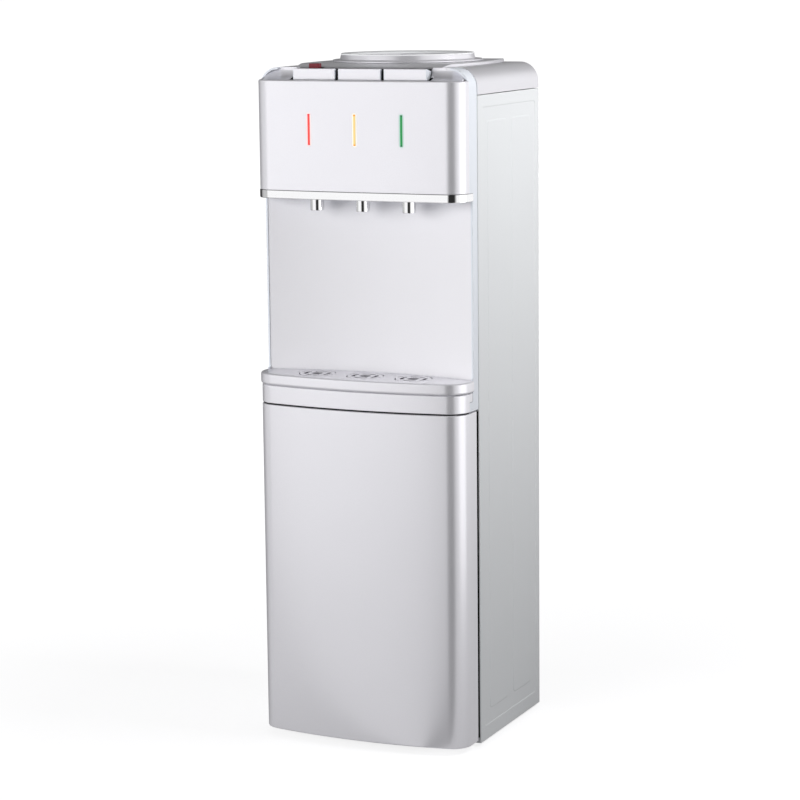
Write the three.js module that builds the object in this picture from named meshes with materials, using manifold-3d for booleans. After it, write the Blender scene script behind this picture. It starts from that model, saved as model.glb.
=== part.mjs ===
// A floor-standing water dispenser: a narrow sheet-metal cabinet with a bottle seat on top,
// three piano keys over a bowed head, three outlets in an open alcove, a lift-out drip tray
// and a bowed storage door. Millimetres, +Z up, the front faces -Y.
import * as THREE from 'three';
import { mergeVertices } from 'three/addons/utils/BufferGeometryUtils.js';
import Module from 'manifold-3d';

const wasm = await Module();
wasm.setup();

// Driving sizes of the whole machine
const bodyWidth = 304; // over the two side panels
const panelDepth = 218; // side panels, front edge to rear edge
const footHeight = 5; // feet below the base
const trayReach = 70; // drip tray rim ahead of the side panels
const condenserReach = 24; // condenser behind the side panels
const shoulderRise = 36; // top cover above the side panels
const shoulderRadius = 26; // its rounded long edges
const deckRise = 4; // raised deck on the top cover
const faceInset = 1; // head, tray housing and door inside the panels' outer faces
const rimOverhang = 2; // drip tray rim beyond the head and door
const doorTop = 455.6; // upper edge of the door above the base
const trayRise = 42.4; // top of the drip tray above the door
const alcoveTall = 235; // open height between the drip tray and the strip under the head
const stripHeight = 11; // bright strip under the head
const headTall = 144.7; // head panel
const scoopRise = 16; // top cover above the head panel

// Plan curves of the bowed front
const trayBow = 720; // radius of the bow across the tray and door
const headBow = 2400; // radius of the flatter bow across the head
const doorBulge = 68; // door front ahead of the side panels
const headBulge = 53; // head front ahead of the side panels
const alcoveBow = 700; // radius of the hollow alcove wall
const alcoveDeep = 6; // its middle behind the side panels' front edge

// Walls and clearances that many pieces share
const sheet = 1.2; // painted steel sheet
const wall = 2.5; // moulded plastic wall
const seat = 0.3; // gap where one piece seats on another
const runGap = 0.8; // gap where one piece moves past another
const overrun = 1; // how far a cutter runs past the face it opens

// Heights and half widths worked out from the sizes above
const bodyHalf = bodyWidth / 2;
const faceHalf = bodyHalf - faceInset;
const trayTop = doorTop + trayRise;
const stripBottom = trayTop + alcoveTall;
const stripTop = stripBottom + stripHeight;
const headBottom = stripTop + seat;
const headTop = headBottom + headTall;
const shoulderTop = headTop + scoopRise;
const panelHeight = shoulderTop - shoulderRise; // side panels, lower edge to upper edge
const deckTop = shoulderTop + deckRise;
const overallDepth = trayReach + panelDepth + condenserReach;

const model = new THREE.Group();
model.name = 'water_dispenser';
model.position.set(0, trayReach - overallDepth / 2, footHeight);

// Finishes
const finish = (color, roughness, metalness = 0) => ({ color, roughness, metalness });
const silverPaint = finish(0xe3e3e8, 0.35, 0.25);
const palePlastic = finish(0xe6eaf2, 0.4);
const whitePlastic = finish(0xf0f0f0, 0.45);
const paintedSteel = finish(0xdfe2e4, 0.45, 0.1);
const chrome = finish(0xf2f2f2, 0.08, 1);
const stainless = finish(0xb9bcbe, 0.3, 1);
const zincSteel = finish(0x9a9d9f, 0.4, 0.9);
const blackSteel = finish(0x1c1d1f, 0.5, 0.3);
const blackRubber = finish(0x1a1a1a, 0.85);
const copper = finish(0xb5704a, 0.35, 1);
const foam = finish(0xf4f4f1, 0.9);
const silicone = finish(0xe9e6dc, 0.6);

// Solids from three.js geometry, and booleans between them
const manifoldOf = (vertProperties, triangles) => {
  const triVerts = new Uint32Array(triangles.flat());
  return new wasm.Manifold(new wasm.Mesh({ numProp: 3, vertProperties, triVerts }));
};
const cornersOf = (triVerts) => Array.from({ length: triVerts.length / 3 }, (_, i) => [
  triVerts[3 * i],
  triVerts[3 * i + 1],
  triVerts[3 * i + 2],
]);
const solid = (geometry) => {
  geometry.deleteAttribute('normal');
  geometry.deleteAttribute('uv');
  const merged = mergeVertices(geometry);
  const places = new Float32Array(merged.attributes.position.array);
  const corner = (i) => new THREE.Vector3().fromArray(places, 3 * i);
  // Where a profile meets its axis, triangles without area are left out
  const triangles = cornersOf(merged.index.array).filter(([a, b, c]) => a !== b && b !== c && c !== a);
  const volume = triangles.reduce((sum, [a, b, c]) => sum + corner(a).dot(corner(b).cross(corner(c))), 0);
  // A profile turned or carried the other way round comes out inside out, so it is turned back
  return manifoldOf(places, volume > 0 ? triangles : triangles.map(([a, b, c]) => [a, c, b]));
};
// The same body on the other side of the middle plane
const mirrored = (body) => {
  const { vertProperties, triVerts } = body.getMesh();
  const places = vertProperties.map((value, i) => (i % 3 === 0 ? -value : value));
  return manifoldOf(places, cornersOf(triVerts).map(([a, b, c]) => [a, c, b]));
};
const join = (...pieces) => pieces.reduce((whole, piece) => whole.add(piece));
const cut = (base, ...tools) => tools.reduce((rest, tool) => rest.subtract(tool), base);
const common = (a, b) => a.intersect(b);

const add = (name, body, look) => {
  const { vertProperties, triVerts } = body.getMesh();
  const geometry = new THREE.BufferGeometry();
  geometry.setAttribute('position', new THREE.BufferAttribute(vertProperties, 3));
  geometry.setIndex(new THREE.BufferAttribute(triVerts, 1));
  geometry.computeVertexNormals();
  const mesh = new THREE.Mesh(geometry, new THREE.MeshStandardMaterial(look));
  mesh.name = name;
  model.add(mesh);
};

const block = (x0, x1, y0, y1, z0, z1) => {
  const geometry = new THREE.BoxGeometry(x1 - x0, y1 - y0, z1 - z0);
  geometry.translate((x0 + x1) / 2, (y0 + y1) / 2, (z0 + z1) / 2);
  return solid(geometry);
};
const shapeOf = (points) => new THREE.Shape(points.map(([u, v]) => new THREE.Vector2(u, v)));
const flatExtrude = (shape, depth) => new THREE.ExtrudeGeometry(shape, { depth, bevelEnabled: false });

// An outline in plan, standing from one height to another
const standing = (points, z0, z1) => {
  const geometry = flatExtrude(shapeOf(points), z1 - z0);
  geometry.translate(0, 0, z0);
  return solid(geometry);
};
// The same with both rims rounded off by an edge radius
const standingRounded = (points, z0, z1, edge, steps) => {
  const geometry = new THREE.ExtrudeGeometry(shapeOf(points), {
    depth: z1 - z0 - 2 * edge,
    bevelEnabled: true,
    bevelThickness: edge,
    bevelSize: edge,
    bevelOffset: -edge,
    bevelSegments: steps,
  });
  geometry.translate(0, 0, z0 + edge);
  return solid(geometry);
};
// A side profile of (y, z) points, carried across in x
const across = (points, x0, x1) => {
  const geometry = flatExtrude(shapeOf(points), x1 - x0);
  const turn = new THREE.Matrix4().makeBasis(
    new THREE.Vector3(0, 1, 0),
    new THREE.Vector3(0, 0, 1),
    new THREE.Vector3(1, 0, 0),
  );
  geometry.applyMatrix4(turn.setPosition(x0, 0, 0));
  return solid(geometry);
};
// A front profile of (x, z) points, carried back in y
const backward = (points, y0, y1) => {
  const geometry = flatExtrude(shapeOf(points), y1 - y0);
  const turn = new THREE.Matrix4().makeBasis(
    new THREE.Vector3(1, 0, 0),
    new THREE.Vector3(0, 0, 1),
    new THREE.Vector3(0, -1, 0),
  );
  geometry.applyMatrix4(turn.setPosition(0, y1, 0));
  return solid(geometry);
};
// A profile of (radius, z) points turned about an upright axis
const turned = (profile, x, y, sides) => {
  const loop = profile.map(([r, z]) => new THREE.Vector2(r, z));
  if (profile[0][0] !== 0) loop.push(loop[0].clone());
  const geometry = new THREE.LatheGeometry(loop, sides);
  geometry.rotateX(Math.PI / 2);
  geometry.translate(x, y, 0);
  return solid(geometry);
};
const upright = (x, y, r, z0, z1, sides) => {
  const geometry = new THREE.CylinderGeometry(r, r, z1 - z0, sides);
  geometry.rotateX(Math.PI / 2);
  geometry.translate(x, y, (z0 + z1) / 2);
  return solid(geometry);
};
const rodAcross = (y, z, r, x0, x1, sides) => {
  const geometry = new THREE.CylinderGeometry(r, r, x1 - x0, sides);
  geometry.rotateZ(Math.PI / 2);
  geometry.translate((x0 + x1) / 2, y, z);
  return solid(geometry);
};
const rodBack = (x, z, r, y0, y1, sides) => {
  const geometry = new THREE.CylinderGeometry(r, r, y1 - y0, sides);
  geometry.translate(x, (y0 + y1) / 2, z);
  return solid(geometry);
};
const arcPoints = (cx, cy, r, from, to, steps) => Array.from({ length: steps + 1 }, (_, i) => {
  const angle = from + ((to - from) * i) / steps;
  return [cx + r * Math.cos(angle), cy + r * Math.sin(angle)];
});

// Plan outline of the head, tray and door: a bow of large radius across the front, a tangent
// corner arc at each side, and straight sides back to the rear.
const bowSteps = 10;
const cornerSteps = 5;
const bowed = ({ half, front, bow, corner, rear }, inset = 0) => {
  const [side, face, big, small] = [half - inset, front + inset, bow - inset, corner - inset];
  const bowCentre = face + big;
  const cornerY = bowCentre - Math.sqrt((big - small) ** 2 - (side - small) ** 2);
  const swing = Math.atan2(side - small, bowCentre - cornerY);
  const down = -Math.PI / 2;
  const edge = [
    ...arcPoints(small - side, cornerY, small, Math.PI, 2 * Math.PI + down - swing, cornerSteps),
    ...arcPoints(0, bowCentre, big, down - swing, down + swing, bowSteps).slice(1, -1),
    ...arcPoints(side - small, cornerY, small, down + swing, 0, cornerSteps),
  ];
  return [[-side, rear], ...edge.filter(([, y]) => y < rear), [side, rear]];
};
const bowY = ({ front, bow }, x) => front + bow - Math.sqrt(bow ** 2 - x ** 2);

// An arch in front view: straight legs and two rounded shoulders
const archPoints = (half, foot, top, radius) => [
  [-half, foot],
  [half, foot],
  ...arcPoints(half - radius, top - radius, radius, 0, Math.PI / 2, cornerSteps),
  ...arcPoints(radius - half, top - radius, radius, Math.PI / 2, Math.PI, cornerSteps),
];
const roundedRect = (u0, u1, v0, v1, r, steps) => [
  ...arcPoints(u1 - r, v0 + r, r, -Math.PI / 2, 0, steps),
  ...arcPoints(u1 - r, v1 - r, r, 0, Math.PI / 2, steps),
  ...arcPoints(u0 + r, v1 - r, r, Math.PI / 2, Math.PI, steps),
  ...arcPoints(u0 + r, v0 + r, r, Math.PI, 1.5 * Math.PI, steps),
];

// Everything below or above a level, far enough out to clear the machine
const slab = (z0, z1) => block(-bodyWidth, bodyWidth, -bodyWidth, bodyWidth, z0, z1);

// A bowed front standing from one height to another, both rims rounded, with a flat rear
const roundedFront = (outline, z0, z1, edge, steps) => {
  const deeper = bowed({ ...outline, rear: outline.rear + bodyHalf });
  const behind = block(-bodyWidth, bodyWidth, outline.rear, bodyWidth, z0 - overrun, z1 + overrun);
  return cut(standingRounded(deeper, z0, z1, edge, steps), behind);
};

// A route of straight runs whose corners are bent to one radius
class Route extends THREE.Curve {
  constructor(corners, bend, bendSteps) {
    super();
    const places = corners.map((p) => new THREE.Vector3(...p));
    this.rings = [places[0]];
    for (let i = 1; i < places.length - 1; i += 1) {
      const at = places[i];
      const back = places[i - 1].clone().sub(at).normalize();
      const on = places[i + 1].clone().sub(at).normalize();
      const half = back.angleTo(on) / 2;
      const reach = bend / Math.tan(half);
      const centre = back.clone().add(on).normalize().multiplyScalar(bend / Math.sin(half)).add(at);
      const start = at.clone().addScaledVector(back, reach).sub(centre);
      const axis = start.clone().cross(at.clone().addScaledVector(on, reach).sub(centre)).normalize();
      for (let step = 0; step <= bendSteps; step += 1) {
        const angle = ((Math.PI - 2 * half) * step) / bendSteps;
        this.rings.push(start.clone().applyAxisAngle(axis, angle).add(centre));
      }
    }
    this.rings.push(places[places.length - 1]);
  }

  getPointAt(share) {
    return this.rings[Math.round(share * (this.rings.length - 1))].clone();
  }

  getTangentAt(share) {
    const i = Math.round(share * (this.rings.length - 1));
    const into = this.rings[i].clone().sub(this.rings[Math.max(i - 1, 0)]).normalize();
    const out = this.rings[Math.min(i + 1, this.rings.length - 1)].clone().sub(this.rings[i]).normalize();
    return into.add(out).normalize();
  }
}

// A round bar along a route
const bendSteps = 3;
const pipe = (corners, bend, radius, sides) => {
  const route = new Route(corners, bend, bendSteps);
  const section = shapeOf(arcPoints(0, 0, radius, 0, (2 * Math.PI * (sides - 1)) / sides, sides - 1));
  const steps = route.rings.length - 1;
  return solid(new THREE.ExtrudeGeometry(section, { extrudePath: route, steps, bevelEnabled: false }));
};

// Where the pieces of the front meet the front frame, measured from the side panels' front edge
const archWall = 3;
const archInside = faceHalf - archWall;
const archFront = { foot: -29, tray: -18.7, alcove: -16, strip: -14.7, head: -26, crown: -20 };
const frameRear = -seat;

// Plan outlines of the front pieces
const door = { half: faceHalf, front: -doorBulge, bow: trayBow, corner: 28, rear: -7 };
const housingSetBack = 0.5;
const housing = { ...door, front: housingSetBack - doorBulge, rear: archFront.foot - seat };
const tray = { half: faceHalf + rimOverhang, front: -trayReach, bow: trayBow, corner: 32, rear: bodyHalf };
const head = { half: faceHalf, front: -headBulge, bow: headBow, corner: 26, rear: archFront.head - seat };
const stripProud = 0.6;
const strip = {
  half: head.half + stripProud,
  front: head.front - stripProud,
  bow: headBow,
  corner: head.corner + stripProud,
  rear: archFront.strip - seat,
};

// Heights of the front pieces above the base
const doorGap = 1.8;
const doorBottom = 4.7;
const housingBottom = doorTop + doorGap;
const trayRim = 15.5;
const trayBottom = trayTop - trayRim;
const housingTop = trayBottom - seat;
const plateThickness = 3;
const plateBottom = stripBottom + seat;
const plateTop = plateBottom + plateThickness;
const alcoveTop = stripBottom - seat;

// Outlets, lights and plungers stand on three shared lines
const outletPitch = 66.7;
const outletY = -30;
const outlets = { hot: -1, room: 0, cold: 1 };

// Sheet-metal folds and the base pan
const flange = 12;
const flangeInside = bodyHalf - flange - seat;
const panelInside = bodyHalf - sheet - seat;
const backPanelFront = panelDepth - 2 * sheet - seat;
const backPanelRear = backPanelFront + sheet;
const insideRear = backPanelFront - seat;
const insideFront = sheet + seat;

// Base: an open steel pan on four rubber feet
const base = { height: 22, floor: 2, wall: 1.5 };
{
  const pan = block(-panelInside, panelInside, insideFront, insideRear, 0, base.height);
  const inside = block(
    base.wall - panelInside,
    panelInside - base.wall,
    insideFront + base.wall,
    insideRear - base.wall,
    base.floor,
    base.height + overrun,
  );
  add('base_plate', cut(pan, inside), zincSteel);
}

const foot = { radius: 13, seatRadius: 10, inset: 34, sides: 14 };
for (const back of [false, true]) {
  for (const side of [-1, 1]) {
    const pad = turned([
      [0, -footHeight],
      [foot.seatRadius, -footHeight],
      [foot.radius, -footHeight / 2],
      [foot.radius, -seat],
      [0, -seat],
    ], side * (bodyHalf - foot.inset), back ? panelDepth - foot.inset : foot.inset, foot.sides);
    add(`foot_${back ? 'rear' : 'front'}_${side < 0 ? 'left' : 'right'}`, pad, blackRubber);
  }
}

// Side panels: folded sheet with a pressed field and two raised fields inside it
const press = { depth: 0.5, front: 14, below: 20, above: 16, corner: 6, cornerSteps: 3 };
const raised = { front: 34, width: 65, gap: 20, bottom: 40, above: 34.5 };
{
  const half = bodyHalf;
  const skin = block(half - sheet, half, 0, panelDepth, 0, panelHeight);
  const frontFold = block(half - flange, half, 0, sheet, 0, panelHeight);
  const rearFold = block(half - flange, half, panelDepth - sheet, panelDepth, 0, panelHeight);
  const field = (y0, y1, z0, z1) => across(
    roundedRect(y0, y1, z0, z1, press.corner, press.cornerSteps),
    half - press.depth,
    half + overrun,
  );
  const sunk = field(press.front, panelDepth - press.front, press.below, panelHeight - press.above);
  const islands = [0, 1].map((i) => {
    const y = raised.front + i * (raised.width + raised.gap);
    return field(y, y + raised.width, raised.bottom, panelHeight - raised.above);
  });
  const panel = cut(join(skin, frontFold, rearFold), cut(sunk, ...islands));
  add('right_side_panel', panel, paintedSteel);
  add('left_side_panel', mirrored(panel), paintedSteel);
}

// Bottle seat, tanks and their pipes share one upright axis
const tankAhead = 99; // tank axis ahead of the side panels' rear edge
const tankY = panelDepth - tankAhead;

const shelfBelow = 172; // tank shelf below the side panels' upper edge
const shelf = { bottom: panelHeight - shelfBelow, thick: 2, front: 12 };
const store = { inset: 2.7, wall: 2, under: 2, over: 4.4, behind: 20, step: 212, beforePot: 61 };
const potAhead = 65; // compressor axis ahead of the side panels' rear edge
const potY = panelDepth - potAhead;
const storeShallow = potY - store.beforePot;
const storeTop = housingBottom - store.over;
const hot = { over: 62, tall: 135 };
const hotBottom = storeTop + hot.over;
const hotTop = hotBottom + hot.tall;

// Rear services that come through the back panel
const spoutBelow = 37; // drain spout below the hot tank
const spoutZ = hotBottom - spoutBelow;
const spout = { radius: 8, reach: 13.5, bore: 5, root: 4, sides: 14 };
const switchAt = { below: 229, apart: 56 };
const switchZ = panelHeight - switchAt.below;
const rocker = { half: 9, tall: 12, body: 6, face: 5, dish: 1.2, narrow: 7, tilt: Math.PI / 18 };
const rockerOpening = { half: rocker.half + seat, tall: rocker.tall + 2 * runGap };
const gland = { inset: 40, height: 40, radius: 7, collar: 10, thick: 2.2, bore: 3.6, reach: 9, sides: 12 };
const glandX = bodyHalf - gland.inset;
const controls = { beside: 27, deep: 33, tallHalf: 45, wall: 2 };
const controlsHalf = switchAt.apart / 2 + controls.beside;
const pipeBeside = 25; // refrigerant pipes outside the control box
const pipeX = controlsHalf + pipeBeside;
const discharge = { height: 60, hole: 4, radius: 2.4 };

// Back panel: sheet between the rear folds, with louvre slots
const louvre = { rows: 7, width: 84, height: 5, pitch: 14, below: 169, middle: 62 };
const louvreBottom = panelHeight - louvre.below;
{
  const through = [backPanelFront - overrun, backPanelRear + overrun];
  const plate = block(
    -panelInside,
    panelInside,
    backPanelFront,
    backPanelRear,
    base.floor,
    panelHeight - seat,
  );
  const tools = [];
  for (const side of [-1, 1]) {
    const x = side * louvre.middle;
    for (let row = 0; row < louvre.rows; row += 1) {
      const z = louvreBottom + row * louvre.pitch;
      tools.push(block(x - louvre.width / 2, x + louvre.width / 2, ...through, z, z + louvre.height));
    }
    const middle = (side * switchAt.apart) / 2;
    tools.push(block(
      middle - rockerOpening.half,
      middle + rockerOpening.half,
      ...through,
      switchZ - rockerOpening.tall,
      switchZ + rockerOpening.tall,
    ));
  }
  tools.push(rodBack(0, spoutZ, spout.radius + seat, ...through, spout.sides));
  tools.push(rodBack(glandX, gland.height, gland.radius + seat, ...through, gland.sides));
  tools.push(rodBack(-pipeX, discharge.height, discharge.hole, ...through, gland.sides));
  add('back_panel', cut(plate, ...tools), paintedSteel);
}

// Front frame: a moulded arch that wraps the head and runs down both sides of the alcove
const archStep = { foot: 12.6, crownDepth: 25 };
const crownHalf = faceHalf - shoulderRadius;
const tongue = { margin: 7.3, under: 3.3 };
const tongueHalf = crownHalf - tongue.margin;
const tongueBottom = shoulderTop - tongue.under;
const crownDrop = { half: tongueHalf + seat, top: tongueBottom - seat };
// The keys share the width of one slot between the ends of the crown
const keySpan = { end: 24, margin: 4.45, gap: 4.3, count: 3 };
const keySlotHalf = crownHalf - keySpan.end;
const keyWidth = (2 * (keySlotHalf - keySpan.margin) - (keySpan.count - 1) * keySpan.gap) / keySpan.count;
const keyPitch = keyWidth + keySpan.gap;
const lock = {
  offset: 7.7,
  half: 7.5,
  depth: 7.5,
  inset: 0.4,
  rise: 0.8,
  travel: 4,
  margin: 3,
  floor: 3.7,
  stemHalf: 2.5,
  stemInset: 2.6,
  stemDepth: 4,
  stemBottom: 7.5,
};
const lockX = -keyPitch - lock.offset;
const lockFront = archFront.crown + lock.inset;
const stemFront = lockFront + lock.stemInset;
const stemSlot = [
  lockX - lock.stemHalf - runGap,
  lockX + lock.stemHalf + runGap,
  stemFront - runGap,
  stemFront + lock.stemDepth + lock.travel + runGap,
];
{
  const outside = archPoints(faceHalf, housingBottom, shoulderTop, shoulderRadius);
  const inside = archPoints(
    archInside,
    housingBottom - overrun,
    shoulderTop - archWall,
    shoulderRadius - archWall,
  );
  const band = cut(
    backward(outside, archFront.foot, frameRear),
    backward(inside, archFront.foot - overrun, frameRear + overrun),
  );
  const dropped = block(
    -crownDrop.half - archWall,
    crownDrop.half + archWall,
    archFront.crown,
    frameRear,
    crownDrop.top - archWall,
    shoulderTop - archWall / 2,
  );
  const front = archFront.foot - overrun;
  const ahead = (y, z0, z1, half = bodyHalf) => block(-half, half, front, y, z0, z1);
  const frame = cut(
    join(band, dropped),
    ahead(archFront.tray, housingBottom + archStep.foot, trayTop + wall),
    ahead(archFront.alcove, trayTop + wall, alcoveTop),
    ahead(archFront.strip, alcoveTop, stripTop),
    ahead(archFront.head, stripTop, shoulderTop + overrun),
    ahead(archFront.crown, shoulderTop - archStep.crownDepth, shoulderTop + overrun, crownHalf),
    block(-crownDrop.half, crownDrop.half, front, overrun, crownDrop.top, shoulderTop + overrun),
    block(...stemSlot, crownDrop.top - archWall - overrun, shoulderTop),
  );
  add('front_frame', frame, palePlastic);
}

// Keys and the shaft that they tilt on, placed from the crown of the front frame
const key = { depth: 15.2, rise: 14.7, bevel: 1.2, arm: 6, armLift: 0.7, armIn: 8.75, tail: 4 };
const armHalf = keyWidth / 2 - key.armIn;
const keyRear = archFront.crown - runGap;
const keyFront = keyRear - key.depth;
const keyBottom = headTop + seat;
const keyTop = keyBottom + key.rise;
const pivot = { y: 8, lift: 3.7, shaft: 2, bore: 2.3, boss: 4.5, past: 12.2, sides: 12 };
const shaftHalf = keyPitch + armHalf + pivot.past;
const pivotZ = keyBottom + pivot.lift;

// Collar and guard of the bottle seat, turned about the tank axis
const ringSides = 36;
const collar = { skirt: 83.6, skirtDrop: 13.3, flange: 101.7, flangeThick: 0.8 };
const collarHole = collar.skirt + seat;

// Top cover: rounded shell, raised barrel-shaped deck, and a scooped apron round the keys
const deckEdge = { shoulder: 36, widestY: 95, taper: 15 };
const scoop = { lip: 13, inset: 2.6, thick: 1.8, slotGap: 1.4, steps: 6 };
const scoopFront = head.front + scoop.lip + seat;
const scoopHalf = archInside - scoop.inset;
{
  const outside = archPoints(bodyHalf, panelHeight + seat, shoulderTop, shoulderRadius);
  const shell = backward(outside, 0, panelDepth);
  const hollow = backward(
    archPoints(bodyHalf - wall, panelHeight - overrun, shoulderTop - wall, shoulderRadius - wall),
    -overrun,
    panelDepth - wall,
  );
  const bulge = deckEdge.taper / (panelDepth - deckEdge.widestY) ** 2;
  const deckOutline = (inset, y0, y1) => {
    const edge = Array.from({ length: bowSteps + 1 }, (_, i) => {
      const y = y0 + ((y1 - y0) * i) / bowSteps;
      return [bodyHalf - deckEdge.shoulder - inset - bulge * (y - deckEdge.widestY) ** 2, y];
    });
    return [...edge, ...edge.map(([x, y]) => [-x, y]).reverse()];
  };
  const deck = standing(deckOutline(0, archFront.crown, panelDepth), shoulderTop - wall / 2, deckTop);
  const underDeck = standing(
    deckOutline(wall, wall, panelDepth - wall),
    shoulderTop - wall - overrun,
    deckTop - wall,
  );
  const bridge = block(
    -tongueHalf,
    tongueHalf,
    archFront.crown - wall / 2,
    wall,
    tongueBottom,
    shoulderTop,
  );

  // The apron's hollow curve runs level at the head and ends upright under the deck
  const apronRear = archFront.crown - seat;
  const curve = Array.from({ length: scoop.steps + 1 }, (_, i) => {
    const angle = ((Math.PI / 2) * i) / scoop.steps;
    return [
      scoopFront + (apronRear - scoopFront) * Math.sin(angle),
      headTop + (shoulderTop - headTop) * (1 - Math.cos(angle)),
    ];
  });
  const under = curve.map(([y, z]) => [y + scoop.thick, z - scoop.thick]).filter(([y]) => y < apronRear);
  const profile = [...curve, [apronRear, under[under.length - 1][1]], ...under.reverse()];
  const insideArch = backward(
    archPoints(
      archInside - seat,
      headBottom,
      shoulderTop - archWall - seat,
      shoulderRadius - archWall - seat,
    ),
    scoopFront - overrun,
    apronRear + overrun,
  );
  const beforeCrown = block(
    seat - crownHalf,
    crownHalf - seat,
    scoopFront - overrun,
    apronRear + overrun,
    headBottom,
    shoulderTop,
  );
  const apron = common(across(profile, -scoopHalf, scoopHalf), join(insideArch, beforeCrown));

  const keySlot = block(
    -keySlotHalf,
    keySlotHalf,
    keyFront - scoop.slotGap,
    archFront.crown,
    headBottom,
    deckTop + overrun,
  );
  const bottleHole = upright(0, tankY, collarHole, shoulderTop - 2 * wall, deckTop + overrun, ringSides);
  const lockNotch = block(
    lockX - lock.half - lock.margin,
    lockX + lock.half + lock.margin,
    archFront.crown - overrun,
    lockFront + lock.depth + lock.travel + runGap,
    deckTop - lock.floor,
    deckTop + overrun,
  );
  const cover = cut(
    join(cut(join(shell, deck), hollow, underDeck), bridge, apron),
    keySlot,
    bottleHole,
    lockNotch,
    block(...stemSlot, tongueBottom - overrun, deckTop),
  );
  add('top_cover', cover, silverPaint);
}

// Head panel: bowed shell with three light slots and four bosses for the board behind them
const headWall = 2.6;
const light = { slot: 3, tall: 44, below: 64, proud: 0.2, backing: 2, brim: 1.2, capSteps: 4 };
const lightMiddle = headTop - light.below;
const board = { end: 5, tall: 54, thick: 1.6, behind: 9.9, boss: 3, bossOut: 13.3, bossLift: 20, sides: 8 };
const bossX = outletPitch + board.bossOut;
const boardHalf = bossX + board.end;
const boardRear = head.front + board.behind;
const boardFront = boardRear - board.thick;
const bossRear = boardFront - seat;
// A slot with round ends, standing upright in front view
const stadium = (x, half, tall) => [
  ...arcPoints(x, lightMiddle + tall / 2 - half, half, 0, Math.PI, light.capSteps),
  ...arcPoints(x, lightMiddle - tall / 2 + half, half, Math.PI, 2 * Math.PI, light.capSteps),
];
{
  const edge = 4;
  const edgeSteps = 3;
  const shell = cut(
    roundedFront(head, headBottom - 2 * edge, headTop, edge, edgeSteps),
    slab(headBottom - 2 * edge - overrun, headBottom),
  );
  const inside = standing(
    bowed({ ...head, rear: head.rear + overrun }, headWall),
    headBottom - overrun,
    headTop - headWall,
  );
  const roofHole = block(
    -scoopHalf - seat,
    scoopHalf + seat,
    head.front + scoop.lip,
    head.rear + overrun,
    headTop - headWall - overrun,
    headTop + overrun,
  );
  const slots = Object.values(outlets).map((side) => (
    backward(stadium(side * outletPitch, light.slot / 2, light.tall), head.front - overrun, bossRear)
  ));
  const bosses = [-1, 1].flatMap((side) => [-1, 1].map((up) => rodBack(
    side * bossX,
    lightMiddle + up * board.bossLift,
    board.boss,
    bowY(head, bossX) + headWall / 2,
    bossRear,
    board.sides,
  )));
  add('head_panel', join(cut(shell, inside, roofHole, ...slots), ...bosses), silverPaint);
}

// Chrome strip under the head, and the tap plate set inside it
{
  const inner = bowed({ ...strip, rear: strip.rear + overrun }, plateThickness);
  const band = cut(
    standing(bowed(strip), stripBottom, stripTop),
    standing(inner, stripBottom - overrun, stripTop + overrun),
  );
  add('chrome_strip', band, chrome);
}

const tapSides = 16;
const tap = { nozzle: 9.4, drop: 15.9, neck: 8, body: 13, tall: 59.7, shoulder: 2, boss: 7, bossTall: 9 };
const tapTop = plateTop + tap.tall;
const tapBossTop = tapTop + tap.bossTall;
const plunger = { radius: 2.5, tail: 37, disc: 6, discOver: 7, discThick: 2, sides: 12 };
const plungerFoot = tapBossTop - plunger.tail;
const discBottom = tapBossTop + plunger.discOver;
const plungerTop = keyBottom - seat;
const alcoveCentre = alcoveDeep - alcoveBow;
{
  const plan = [
    standing(bowed(strip, plateThickness + seat), plateBottom, plateTop),
    block(seat - archInside, archInside - seat, strip.rear - overrun, frameRear, plateBottom, plateTop),
    block(
      -flangeInside,
      flangeInside,
      frameRear - overrun,
      alcoveDeep + wall + runGap,
      plateBottom,
      plateTop,
    ),
  ];
  const holes = Object.values(outlets).map((side) => upright(
    side * outletPitch,
    outletY,
    tap.neck + seat,
    plateBottom - overrun,
    plateTop + overrun,
    tapSides,
  ));
  add('tap_plate', cut(join(...plan), ...holes), palePlastic);
}

// Taps: a closed body above the plate, a neck through it and a nozzle below, bored for the plunger

const inlet = { radius: 5, lift: 15.7, rear: -4, root: 8, sides: 10 };
const inletZ = plateTop + inlet.lift;
for (const [name, side] of Object.entries(outlets)) {
  const x = side * outletPitch;
  const nozzleBottom = plateBottom - seat - tap.drop;
  const bore = plunger.radius + seat + seat;
  const mouth = tap.nozzle - headWall;
  const throat = nozzleBottom + tap.nozzle;
  const body = turned([
    [mouth, nozzleBottom],
    [tap.nozzle - seat, nozzleBottom],
    [tap.nozzle, nozzleBottom + seat],
    [tap.nozzle, plateBottom - seat],
    [tap.neck, plateBottom - seat],
    [tap.neck, plateTop + seat],
    [tap.body, plateTop + seat],
    [tap.body, tapTop - tap.shoulder],
    [tap.body - tap.shoulder, tapTop],
    [tap.boss, tapTop],
    [tap.boss, tapBossTop],
    [bore, tapBossTop],
    [bore, throat],
    [mouth, throat],
  ], x, outletY, tapSides);
  const stub = rodBack(x, inletZ, inlet.radius, outletY + inlet.root, inlet.rear, inlet.sides);
  add(`${name}_tap`, join(body, stub), chrome);
}

// Plungers: rods from the keys down into the taps, each with a disc for its return spring
for (const [name, side] of Object.entries(outlets)) {
  const rod = turned([
    [0, plungerFoot],
    [plunger.radius, plungerFoot],
    [plunger.radius, discBottom],
    [plunger.disc, discBottom],
    [plunger.disc, discBottom + plunger.discThick],
    [plunger.radius, discBottom + plunger.discThick],
    [plunger.radius, plungerTop],
    [0, plungerTop],
  ], side * outletPitch, outletY, plunger.sides);
  add(`${name}_plunger`, rod, whitePlastic);
}

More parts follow.
